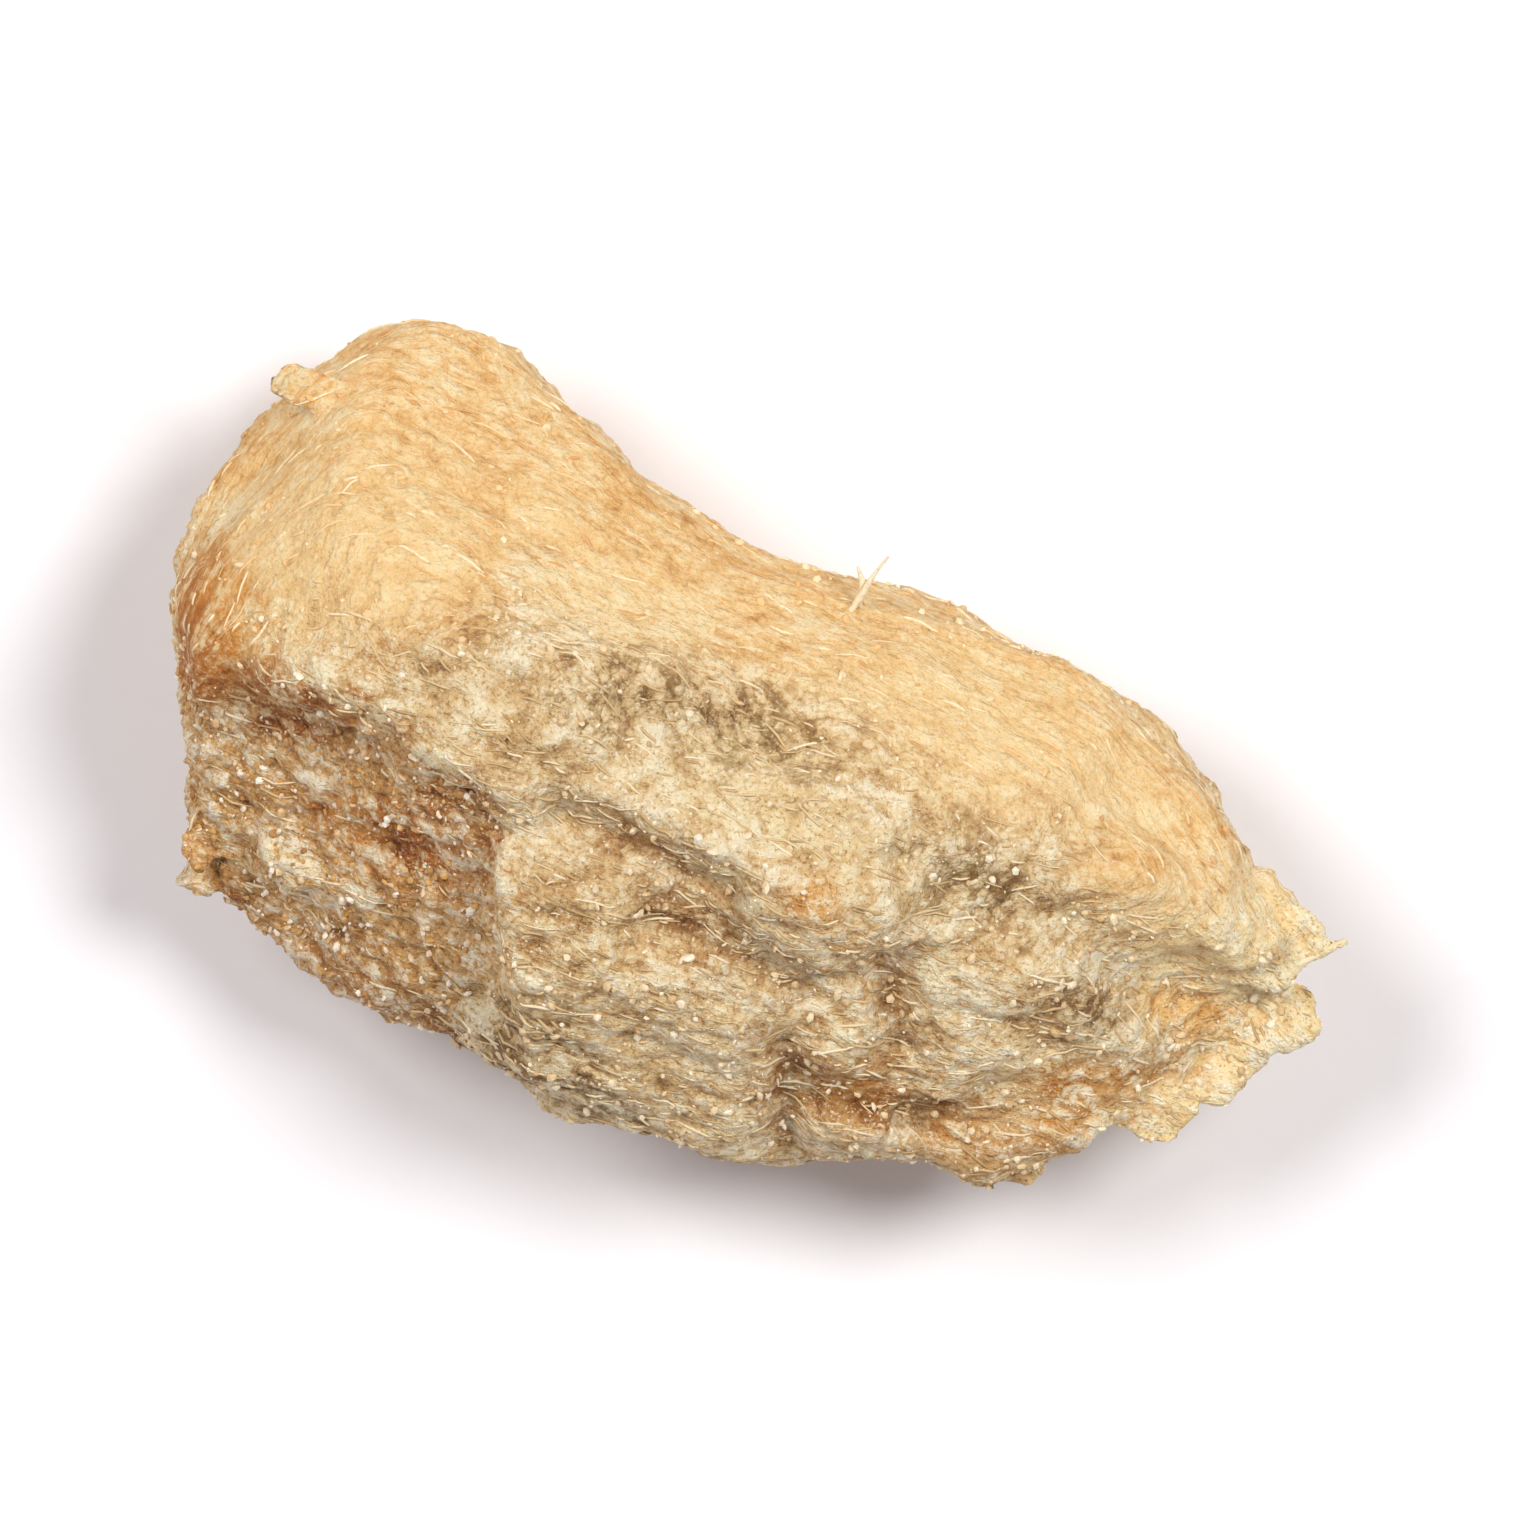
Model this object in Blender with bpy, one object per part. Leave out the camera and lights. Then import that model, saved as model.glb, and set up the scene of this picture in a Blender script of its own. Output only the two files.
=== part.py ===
"""One chip of dried ginger root, cut across the grain, dried and sifted.

The chip lies on a flat cut underside. Seen from above, +X is to the right and +Y is up, and
the origin is on the ground under the middle of the chip. The tables are in millimetres, and
the finished mesh is scaled to metres once, at the end.
"""

import math

import bmesh
import bpy
import numpy as np
from mathutils import Matrix, Vector, noise

PART_NAME = "ginger_root_chip"
MM = 0.001

# The chip's colour, as linear RGB, and its finish.
FLESH_COLOUR = (0.56, 0.36, 0.16, 1.0)
FLESH_ROUGHNESS = 0.85

# Cells along each side of the cube that is blown up into the chip, and the chip's half sizes.
CELLS = 28
HALF_SIZES = np.array((4.5, 3.4, 2.1))
EVENING_ROUNDS = 70

# The surface is found along a ray by halving, from a reach that lies outside the whole chip.
OUTER_REACH = 8.0
ROUGH_HALVINGS = 11
FINE_HALVINGS = 22

# A point inside the chip, from which its whole surface can be seen.
HEART = np.array((-0.35, -0.45, 1.95))

# The widest outline seen from above, clockwise from the top of the knob.
OUTLINE = (
    (-2.46, 3.28),
    (-1.94, 3.04),
    (-1.32, 2.46),
    (-0.58, 1.80),
    (0.30, 1.36),
    (1.40, 1.06),
    (2.36, 0.62),
    (3.02, 0.17),
    (3.48, -0.46),
    (3.94, -1.24),
    (4.30, -1.92),
    (3.86, -2.42),
    (3.30, -2.86),
    (2.55, -3.12),
    (1.85, -3.36),
    (1.20, -3.02),
    (0.60, -3.09),
    (-0.40, -3.04),
    (-1.40, -2.72),
    (-2.60, -2.10),
    (-3.90, -1.46),
    (-4.36, -0.60),
    (-4.50, 0.50),
    (-4.58, 1.30),
    (-4.16, 2.08),
    (-3.30, 2.84),
)
OUTLINE_STEPS = 12

# Heights of the upper side at its landmarks: x, y, z.
TOP_LANDMARKS = (
    (-2.5, 2.7, 3.10),
    (-3.6, 1.8, 3.30),
    (-2.6, 1.2, 4.00),
    (-1.2, 0.6, 4.30),
    (-0.4, 1.4, 3.20),
    (0.8, -0.3, 4.00),
    (2.0, 0.1, 3.60),
    (2.5, -1.2, 3.40),
    (3.4, -1.5, 2.70),
    (4.2, -1.9, 2.30),
    (-0.6, -1.4, 4.00),
    (-0.8, -2.6, 3.05),
    (1.6, -2.4, 2.95),
    (-3.2, -0.6, 3.60),
    (-4.2, -0.8, 2.60),
)
LANDMARK_REACH = 0.95
# The share that every landmark keeps far away, where no other reaches.
LANDMARK_FLOOR = 1e-9

# The widest outline lies at the rim, which rises towards the tip and sinks under the knob.
# The sides draw in above it and below it.
RIM_HEIGHT = 1.80
RIM_RISE = (0.03, -0.06)
UPPER_DRAW_IN = 0.60
LOWER_DRAW_IN = 1.25
BOTTOM_LEVEL = -0.18
EDGE_ROUNDING = 0.60

# Flat cut faces: a point on the face, then the azimuth and elevation of its normal in degrees.
CUT_FACES = (
    ((-2.50, 2.40, 3.28), 96.0, 64.0),
    ((-3.30, 1.30, 3.62), 176.0, 56.0),
    ((-0.80, -0.60, 4.06), 248.0, 72.0),
    ((1.70, -0.20, 3.72), 24.0, 70.0),
    ((-0.90, -2.50, 2.72), 258.0, 38.0),
    ((2.10, -2.50, 2.45), 296.0, 42.0),
    ((3.98, -1.40, 2.36), 4.0, 46.0),
    ((2.35, 0.25, 2.95), 62.0, 42.0),
    ((0.10, 1.05, 2.95), 66.0, 40.0),
    ((-4.34, 0.60, 2.10), 186.0, 8.0),
    ((-3.50, 2.30, 2.45), 140.0, 26.0),
    ((3.20, -1.30, 0.80), 352.0, -40.0),
    ((-2.90, -1.60, 0.72), 232.0, -34.0),
    ((-1.60, 2.30, 0.70), 72.0, -36.0),
    ((-3.60, 1.40, 0.60), 165.0, -30.0),
    ((1.40, -2.60, 0.80), 285.0, -34.0),
)
CUT_ROUNDING = 0.20

# Hollows where flesh has broken away: each lies above its floor and outside its two walls.
# Each of these three faces is given as a cut face is.
HOLLOWS = (
    (
        ((-3.10, -0.85, 2.54), 224.0, 42.0),
        ((-2.00, -1.20, 2.60), 186.0, 10.0),
        ((-3.00, 0.28, 3.00), 256.0, 18.0),
    ),
    (
        ((3.20, -2.00, 2.20), 318.0, 50.0),
        ((2.72, -2.00, 2.50), 350.0, 12.0),
        ((3.20, -1.58, 2.40), 278.0, 16.0),
    ),
    (
        ((3.05, -0.10, 2.46), 42.0, 46.0),
        ((2.70, 0.10, 2.80), 336.0, 10.0),
        ((3.10, -0.62, 2.70), 84.0, 14.0),
    ),
)
HOLLOW_ROUNDING = 0.16

# Long marks on the upper side: the path from above, the half width, and the rise or depth.
# The last one is a single large grain.
MARKS = (
    (((-3.40, 0.72), (-1.90, -0.12), (-0.20, -0.62), (0.90, -1.24)), 0.26, 0.15),
    (((-1.45, -0.40), (-0.85, -0.66), (-0.25, -0.90)), 0.24, -0.24),
    (((-0.70, -1.24), (-0.10, -1.46), (0.50, -1.80)), 0.28, -0.26),
    (((-2.30, 0.92), (-1.20, 0.66), (-0.40, 0.62)), 0.24, 0.09),
    (((0.30, -2.16), (0.28, -2.60), (0.24, -3.10)), 0.24, -0.22),
    (((0.46, -2.62), (0.90, -2.74), (1.36, -2.84)), 0.22, -0.20),
    (((1.05, -3.06), (1.70, -3.08), (2.50, -2.90)), 0.26, 0.14),
    (((-1.00, 0.34), (-0.40, 0.26), (0.30, 0.12)), 0.30, -0.13),
    (((1.20, -0.76), (1.70, -1.00), (2.40, -1.24)), 0.28, -0.13),
    (((1.02, -1.60), (1.10, -1.95), (1.20, -2.30)), 0.22, -0.12),
    (((2.60, -1.60), (3.20, -1.86), (3.90, -2.02)), 0.22, -0.14),
    (((2.90, -0.90), (3.40, -1.28), (3.90, -1.56)), 0.24, 0.10),
    (((-3.66, -0.85), (-3.54, -0.93)), 0.22, 0.12),
)
# Marks and smooth skin fade out where the surface turns from facing up to facing sideways:
# the upright share of the normal where they end and where they are whole.
MARK_END = 0.1
MARK_WHOLE = 0.5

# The grain runs from the knob down to the tip. Wrinkles follow it.
GRAIN_DEGREES = -22.0
WRINKLE_LENGTH = 2.2
WRINKLE_WIDTH = 0.66
WRINKLE_RISE = 0.085
WRINKLE_SHARPNESS = 2.6
LUMP_SIZE = 0.52
LUMP_RISE = 0.070

# The smooth skin of the knob and of the upper edge, where wrinkles and lumps are low:
# centre and radii seen from above.
SMOOTH_PATCHES = (
    ((-2.7, 2.2), (1.6, 1.2)),
    ((-0.2, 1.3), (2.2, 0.6)),
    ((2.0, 0.2), (1.3, 0.6)),
)
SMOOTH_SHARE = 0.75

# Torn flakes that stand out from the rim: root, tip, width at the root and thickness.
FLAKES = (
    ((3.20, -1.10, 2.26), (4.30, -1.60, 2.14), 0.90, 0.20),
    ((3.10, -1.80, 1.62), (4.36, -2.10, 1.90), -0.70, 0.20),
    ((2.90, -2.00, 1.66), (3.84, -2.50, 1.76), 0.86, 0.18),
    ((2.60, -2.30, 1.92), (3.30, -2.98, 1.80), -0.62, 0.18),
    ((1.75, -2.60, 1.74), (2.00, -3.38, 1.62), 0.86, 0.20),
    ((-3.68, 0.10, 2.00), (-4.34, -0.96, 1.86), 0.52, 0.14),
    ((-3.56, -0.50, 1.66), (-4.42, -1.12, 1.58), -0.44, 0.14),
    ((-2.90, 2.58, 2.36), (-3.68, 2.88, 2.44), 0.34, 0.14),
)
# A flake's outline: how far out from the root, as a share of its length, and how far aside,
# as a share of its width.
FLAKE_OUTLINE = (
    (0.00, -0.50),
    (0.58, -0.47),
    (0.86, -0.38),
    (0.94, -0.20),
    (0.91, -0.06),
    (1.00, 0.10),
    (0.93, 0.28),
    (0.72, 0.42),
    (0.42, 0.50),
    (0.00, 0.50),
)
FLAKE_EDGE_SHARE = 0.35

# Single fibres that stand out: root, tip and thickness at the root.
FIBRES = (
    ((3.90, -1.70, 2.12), (4.52, -1.42, 2.20), 0.15),
    ((0.70, 1.02, 2.56), (1.02, 1.50, 2.66), 0.10),
)
FIBRE_SIDES = 6
FIBRE_TIP_SHARE = 0.35

# How near the ground a corner counts as lying on it when the underside is cut, in mm.
CUT_TOLERANCE = 1e-5


def clear_scene():
    """Takes everything out of the scene."""
    for obj in list(bpy.data.objects):
        bpy.data.objects.remove(obj)


def new_collection(name, hidden=False):
    """A new collection in the scene."""
    collection = bpy.data.collections.new(name)
    collection.hide_render = hidden
    bpy.context.scene.collection.children.link(collection)
    return collection


def closed_curve(points, steps):
    """Points of a smooth closed curve through the given points."""
    knots = np.array(points)
    before = np.roll(knots, 1, axis=0)
    after = np.roll(knots, -1, axis=0)
    beyond = np.roll(knots, -2, axis=0)
    pieces = []
    for t in np.arange(steps) / steps:
        pieces.append(
            0.5
            * (
                2 * knots
                + (after - before) * t
                + (2 * before - 5 * knots + 4 * after - beyond) * t**2
                + (3 * knots - before - 3 * after + beyond) * t**3
            )
        )
    return np.stack(pieces, axis=1).reshape(-1, 2)


def outline_table():
    """Angle and radius of the outline round the chip's heart, sorted by angle."""
    curve = closed_curve(OUTLINE, OUTLINE_STEPS) - HEART[:2]
    angles = np.arctan2(curve[:, 1], curve[:, 0])
    order = np.argsort(angles)
    return angles[order], np.hypot(curve[order, 0], curve[order, 1])


def smooth_max(first, second, rounding):
    """The larger of two fields, with the edge between them rounded."""
    overlap = np.maximum(rounding - np.abs(first - second), 0.0) / rounding
    return np.maximum(first, second) + overlap**2 * rounding / 4


def top_height(points):
    """Height of the upper side over each point, blended from the landmarks."""
    landmarks = np.array(TOP_LANDMARKS)
    offsets = points[:, None, :2] - landmarks[None, :, :2]
    weights = np.exp(-(offsets**2).sum(axis=2) / LANDMARK_REACH**2) + LANDMARK_FLOOR
    return (weights * landmarks[:, 2]).sum(axis=1) / weights.sum(axis=1)


def unit_vector(azimuth, elevation):
    """The direction of this azimuth and elevation, both in degrees."""
    azimuth, elevation = math.radians(azimuth), math.radians(elevation)
    level = math.cos(elevation)
    return np.array((level * math.cos(azimuth), level * math.sin(azimuth), math.sin(elevation)))


def beyond_face(points, face):
    """How far the points lie beyond a flat face, along its normal."""
    place, azimuth, elevation = face
    return (points - np.array(place)) @ unit_vector(azimuth, elevation)


def chip_field(points, outline):
    """A field that is negative inside the chip and zero on its surface."""
    flat = points[:, :2] - HEART[:2]
    angles = np.arctan2(flat[:, 1], flat[:, 0])
    reach = np.interp(angles, outline[0], outline[1], period=2 * math.pi)
    over_rim = points[:, 2] - RIM_HEIGHT - points[:, :2] @ np.array(RIM_RISE)
    above = np.maximum(over_rim, 0.0) / RIM_HEIGHT
    below = np.maximum(-over_rim, 0.0) / RIM_HEIGHT
    side = np.hypot(flat[:, 0], flat[:, 1]) - reach
    side += UPPER_DRAW_IN * above**2 + LOWER_DRAW_IN * below**2
    field = smooth_max(side, points[:, 2] - top_height(points), EDGE_ROUNDING)
    field = smooth_max(field, BOTTOM_LEVEL - points[:, 2], EDGE_ROUNDING)
    for face in CUT_FACES:
        field = smooth_max(field, beyond_face(points, face), CUT_ROUNDING)
    for faces in HOLLOWS:
        floor, wall, other_wall = (-beyond_face(points, face) for face in faces)
        hollow = smooth_max(smooth_max(floor, wall, HOLLOW_ROUNDING), other_wall, HOLLOW_ROUNDING)
        field = smooth_max(field, -hollow, HOLLOW_ROUNDING)
    return field


def cast_to_surface(directions, outline, halvings):
    """Where the rays from the heart along these directions leave the chip."""
    near = np.zeros(len(directions))
    far = np.full(len(directions), OUTER_REACH)
    for _ in range(halvings):
        middle = (near + far) / 2
        outside = chip_field(HEART + directions * middle[:, None], outline) > 0
        far = np.where(outside, middle, far)
        near = np.where(outside, near, middle)
    return HEART + directions * near[:, None]


def unit_rows(rows):
    """The rows, each scaled to length one."""
    return rows / np.linalg.norm(rows, axis=1)[:, None]


def even_surface(mesh, outline):
    """The chip's surface points, drawn towards their largest cells until all are even."""
    points = np.array([vert.co for vert in mesh.verts])
    cells = np.array([[vert.index for vert in face.verts] for face in mesh.faces])
    directions = unit_rows(unit_rows(points) * HALF_SIZES)
    for _ in range(EVENING_ROUNDS):
        surface = cast_to_surface(directions, outline, ROUGH_HALVINGS)
        corners = surface[cells]
        diagonals = corners[:, 2:] - corners[:, :2]
        areas = np.linalg.norm(np.cross(diagonals[:, 0], diagonals[:, 1]), axis=1)[:, None]
        pull = np.zeros_like(surface)
        weight = np.zeros((len(surface), 1))
        for corner in range(4):
            np.add.at(pull, cells[:, corner], areas * corners.mean(axis=1))
            np.add.at(weight, cells[:, corner], areas)
        directions = unit_rows(pull / weight - HEART)
    return cast_to_surface(directions, outline, FINE_HALVINGS)


def distance_to_path(point, path):
    """Shortest distance in plan from a point to a run of straight stretches."""
    nearest = math.inf
    for start, end in zip(path, path[1:]):
        along = Vector(end) - Vector(start)
        share = (point - Vector(start)).dot(along) / along.length_squared
        foot = Vector(start) + along * min(max(share, 0.0), 1.0)
        nearest = min(nearest, (point - foot).length)
    return nearest


def smoothness(point):
    """How smooth the skin is here: 1 on the knob and the upper edge, 0 elsewhere."""
    best = 0.0
    for centre, radii in SMOOTH_PATCHES:
        reach = math.hypot((point.x - centre[0]) / radii[0], (point.y - centre[1]) / radii[1])
        best = max(best, math.exp(-reach**4))
    return best


def relief(point, normal):
    """How far the surface stands out here, from the marks, the wrinkles and the lumps."""
    facing_up = min(max((normal.z - MARK_END) / (MARK_WHOLE - MARK_END), 0.0), 1.0)
    height = 0.0
    for path, half_width, rise in MARKS:
        reach = distance_to_path(point.xy, path) / half_width
        height += facing_up * rise * math.exp(-reach * reach)
    turned = Matrix.Rotation(math.radians(-GRAIN_DEGREES), 3, "Z") @ point
    stretched = Vector((turned.x / WRINKLE_LENGTH, turned.y / WRINKLE_WIDTH, turned.z / WRINKLE_WIDTH))
    wrinkle = 1.0 - WRINKLE_SHARPNESS * abs(noise.noise(stretched))
    lump = noise.noise(point / LUMP_SIZE)
    rough = 1.0 - SMOOTH_SHARE * smoothness(point) * facing_up
    return height + rough * (WRINKLE_RISE * wrinkle + LUMP_RISE * lump)


def raise_relief(mesh):
    """Moves every corner of the mesh out by its relief."""
    mesh.normal_update()
    moves = [vert.normal * relief(vert.co, vert.normal) for vert in mesh.verts]
    for vert, move in zip(mesh.verts, moves):
        vert.co += move


def cut_flat(mesh):
    """Cuts the underside off level at z = 0, as the flat face that the chip rests on."""
    geometry = mesh.verts[:] + mesh.edges[:] + mesh.faces[:]
    cut = bmesh.ops.bisect_plane(
        mesh, geom=geometry, dist=CUT_TOLERANCE, plane_co=(0, 0, 0), plane_no=(0, 0, -1), clear_outer=True
    )
    rim = [item for item in cut["geom_cut"] if isinstance(item, bmesh.types.BMEdge)]
    bmesh.ops.contextual_create(mesh, geom=rim)


def chip_body():
    """The chip without its flakes and fibres, as a mesh in millimetres."""
    mesh = bmesh.new()
    bmesh.ops.create_cube(mesh, size=2.0)
    bmesh.ops.subdivide_edges(mesh, edges=mesh.edges[:], cuts=CELLS - 1, use_grid_fill=True)
    mesh.verts.index_update()
    for vert, place in zip(mesh.verts, even_surface(mesh, outline_table())):
        vert.co = place
    raise_relief(mesh)
    cut_flat(mesh)
    bmesh.ops.recalc_face_normals(mesh, faces=mesh.faces[:])
    return mesh


def placed_along(root, tip):
    """The frame whose X axis runs from root to tip and whose Z axis is as upright as can be."""
    along = (Vector(tip) - Vector(root)).normalized()
    aside = Vector((0, 0, 1)).cross(along).normalized()
    turn = Matrix((along, aside, along.cross(aside))).transposed()
    return Matrix.Translation(root) @ turn.to_4x4()


def flake(root, tip, width, thickness):
    """A thin torn blade, thinner at its far edge. A negative width mirrors its outline."""
    mesh = bmesh.new()
    length = (Vector(tip) - Vector(root)).length
    rings = []
    for side in (-0.5, 0.5):
        ring = []
        for out, aside in FLAKE_OUTLINE:
            lift = side * thickness * (1 - (1 - FLAKE_EDGE_SHARE) * out)
            ring.append(mesh.verts.new((out * length, aside * width, lift)))
        rings.append(ring)
    lower, upper = rings
    mesh.faces.new(lower)
    mesh.faces.new(upper)
    for index, start in enumerate(lower):
        following = (index + 1) % len(lower)
        mesh.faces.new((start, lower[following], upper[following], upper[index]))
    bmesh.ops.recalc_face_normals(mesh, faces=mesh.faces[:])
    bmesh.ops.transform(mesh, matrix=placed_along(root, tip), verts=mesh.verts[:])
    return mesh


def fibre(root, tip, thickness):
    """A single tapered fibre from root to tip."""
    mesh = bmesh.new()
    length = (Vector(tip) - Vector(root)).length
    bmesh.ops.create_cone(
        mesh,
        cap_ends=True,
        segments=FIBRE_SIDES,
        radius1=thickness / 2,
        radius2=thickness / 2 * FIBRE_TIP_SHARE,
        depth=length,
        matrix=Matrix.Rotation(math.pi / 2, 4, "Y") @ Matrix.Translation((0, 0, length / 2)),
    )
    bmesh.ops.transform(mesh, matrix=placed_along(root, tip), verts=mesh.verts[:])
    return mesh


def centre_on_origin(meshes):
    """Sets the middle of the box round all the meshes over the origin."""
    places = np.array([vert.co for mesh in meshes for vert in mesh.verts])
    middle = (places.min(axis=0) + places.max(axis=0)) / 2
    for mesh in meshes:
        bmesh.ops.translate(mesh, vec=(-middle[0], -middle[1], 0), verts=mesh.verts[:])


def add_object(name, mesh, collection):
    """Turns a mesh in millimetres into an object in metres."""
    bmesh.ops.scale(mesh, vec=(MM, MM, MM), verts=mesh.verts[:])
    data = bpy.data.meshes.new(name)
    mesh.to_mesh(data)
    mesh.free()
    obj = bpy.data.objects.new(name, data)
    collection.objects.link(obj)
    return obj


def flesh_material():
    """The chip's plain matt finish."""
    material = bpy.data.materials.new("dried_ginger")
    material.use_nodes = True
    shader = material.node_tree.nodes["Principled BSDF"]
    shader.inputs["Base Color"].default_value = FLESH_COLOUR
    shader.inputs["Roughness"].default_value = FLESH_ROUGHNESS
    shader.inputs["Metallic"].default_value = 0.0
    return material


def build_chip():
    """Builds the chip, with its flakes and fibres fused to it."""
    clear_scene()
    parts = new_collection("dried_ginger_root")
    outgrowths = new_collection("outgrowths", hidden=True)
    body = chip_body()
    slivers = [flake(*sizes) for sizes in FLAKES] + [fibre(*sizes) for sizes in FIBRES]
    centre_on_origin([body] + slivers)
    chip = add_object(PART_NAME, body, parts)
    chip.data.materials.append(flesh_material())
    chip.data.shade_smooth()
    for index, mesh in enumerate(slivers):
        sliver = add_object(f"sliver_{index}", mesh, outgrowths)
        sliver.hide_render = True
        sliver.display_type = "WIRE"
    union = chip.modifiers.new("grown_on_slivers", "BOOLEAN")
    union.operation = "UNION"
    union.operand_type = "COLLECTION"
    union.collection = outgrowths


build_chip()
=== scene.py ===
"""Looks of one chip of dried ginger root.

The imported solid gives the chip's form. This script gives it a fine surface of smooth flesh,
wrinkled skin and granular cut faces, grows starch grains and fibres on it, and sets it on a
pale floor in soft light, seen from straight above.
"""

from __future__ import annotations

import logging
import math
from collections.abc import Iterable
from dataclasses import dataclass, field
from enum import Enum

import bmesh
import bpy
import numpy as np
from mathutils import Matrix, Vector


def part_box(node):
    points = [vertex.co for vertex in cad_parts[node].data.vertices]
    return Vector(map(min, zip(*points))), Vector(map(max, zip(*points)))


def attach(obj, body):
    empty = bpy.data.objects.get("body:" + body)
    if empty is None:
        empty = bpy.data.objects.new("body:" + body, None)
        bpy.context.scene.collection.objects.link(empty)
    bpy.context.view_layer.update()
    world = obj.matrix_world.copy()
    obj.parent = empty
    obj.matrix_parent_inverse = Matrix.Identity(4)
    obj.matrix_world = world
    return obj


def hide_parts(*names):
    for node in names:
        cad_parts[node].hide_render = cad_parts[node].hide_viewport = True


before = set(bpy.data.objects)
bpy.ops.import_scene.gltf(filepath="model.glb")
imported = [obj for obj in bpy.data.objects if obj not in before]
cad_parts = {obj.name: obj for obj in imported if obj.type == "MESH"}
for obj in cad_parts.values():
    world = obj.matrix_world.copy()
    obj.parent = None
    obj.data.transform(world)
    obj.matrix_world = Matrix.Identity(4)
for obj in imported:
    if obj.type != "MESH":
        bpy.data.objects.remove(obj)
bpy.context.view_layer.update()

LOG = logging.getLogger("dried_ginger_root")
NODE = "ginger_root_chip"
BODY = "root"

# The surface is worked in millimetres and scaled to metres when it is done.
MM = 0.001
# Where the plan coordinates of this script's tables lie in the part's own frame, in mm.
PLAN_OFFSET = np.array((-0.040, 0.068, 0.0))
# The grain of the root runs from the knob down to the tip.
GRAIN_SLOPE = -0.40
# The upper outline seen from above, in mm. Near it the grain bends to follow it.
CREST = (
    (-4.6, 0.2),
    (-4.25, 1.5),
    (-3.6, 2.55),
    (-2.75, 3.2),
    (-2.1, 2.9),
    (-1.5, 2.2),
    (-0.9, 1.68),
    (0.0, 1.3),
    (1.2, 0.95),
    (2.4, 0.5),
    (3.2, -0.3),
    (3.7, -1.1),
    (4.4, -2.0),
)
# How far from it the grain still bends, the stretch that its corners are eased over, the number
# of samples on that stretch, and the step over which its slope is taken.
CREST_REACH = 2.4
CREST_EASE = 0.3
CREST_SAMPLES = 7
CREST_STEP = 0.1

# Points are scattered over none of the flat underside. Their density rises from nothing to full
# as the upright part of the normal passes the first two values, and the height the other two.
UNDERSIDE_TILT = (-0.95, -0.75)
UNDERSIDE_HEIGHT = (0.04, 0.12)

# Mesh attributes besides those of the tissues, stains and marks.
RELIEF = "relief"
TONE = "tone"
THICKNESS = "thickness"
GRAIN_PLACE = "grain_place"
GRAIN_RUN = "grain_run"

# Noise and the random colours of cells swing round this value.
MIDDLE = 0.5

Pair = tuple[float, float]
Triple = tuple[float, float, float]
Colour = tuple[float, float, float, float]
# A value that is mapped smoothly onto another: from low and high to start and end.
Fade = tuple[float, float, float, float]
# Positions and screen colours along a colour ramp, in rising order.
Stops = tuple[tuple[float, str], ...]
Socket = bpy.types.NodeSocket
SocketValue = float | int | bool | str | Triple | Colour | Socket | bpy.types.Material
# A pattern's value, the middle that it swings round and how much it counts for.
Layer = tuple[Socket, float, SocketValue]

# A stain that is as strong on top of the finest relief as in its gaps, and one kept to the gaps.
EVERYWHERE: Fade = (0.0, 1.0, 1.0, 1.0)
IN_GAPS: Fade = (0.72, 0.40, 0.25, 1.0)


def linear(hex_colour: str) -> Colour:
    """Turns a screen colour into the linear colour that shaders take.

    Args:
        hex_colour: Six hexadecimal digits, as in "E9B877".

    Returns:
        Linear red, green, blue and an alpha of one.
    """
    shares = [int(hex_colour[at : at + 2], 16) / 255 for at in (0, 2, 4)]
    red, green, blue = (
        share / 12.92 if share <= 0.04045 else ((share + 0.055) / 1.055) ** 2.4 for share in shares
    )
    return (red, green, blue, 1.0)


class Tissue(Enum):
    """The kinds of surface that the chip shows, named as their mesh attributes."""

    SMOOTH = "smooth_flesh"
    CUT = "broken_cut"
    TIP = "splintered_tip"


class Stain(Enum):
    """Tints laid over the tissues, named as their mesh attributes."""

    CREAM = "cream"
    HONEY = "honey"
    DARK = "dark_brown"
    GREY = "grey_shade"
    PALE = "pale_grain"


class Mark(Enum):
    """Long marks on the surface, named as their mesh attributes."""

    FURROW = "furrow"
    RIDGE = "ridge"


class Blend(Enum):
    """How one colour is laid over another."""

    COVER = "MIX"
    TINT = "MULTIPLY"


@dataclass(frozen=True)
class Patch:
    """An oval stretch of one tissue or stain, seen from above, in mm, and its turn in degrees."""

    kind: Tissue | Stain
    centre: Pair
    radii: Pair
    turn: float = 0.0


@dataclass(frozen=True)
class Stroke:
    """A furrow or ridge: its path seen from above and its half width, in mm, and its strength."""

    mark: Mark
    path: tuple[Pair, ...]
    half_width: float
    strength: float = 1.0


@dataclass(frozen=True)
class Wash:
    """How a stain colours the tissues: its tint, its share, and how that changes with height."""

    stain: Stain
    tint: str
    share: float
    blend: Blend
    by_height: Fade


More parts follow.
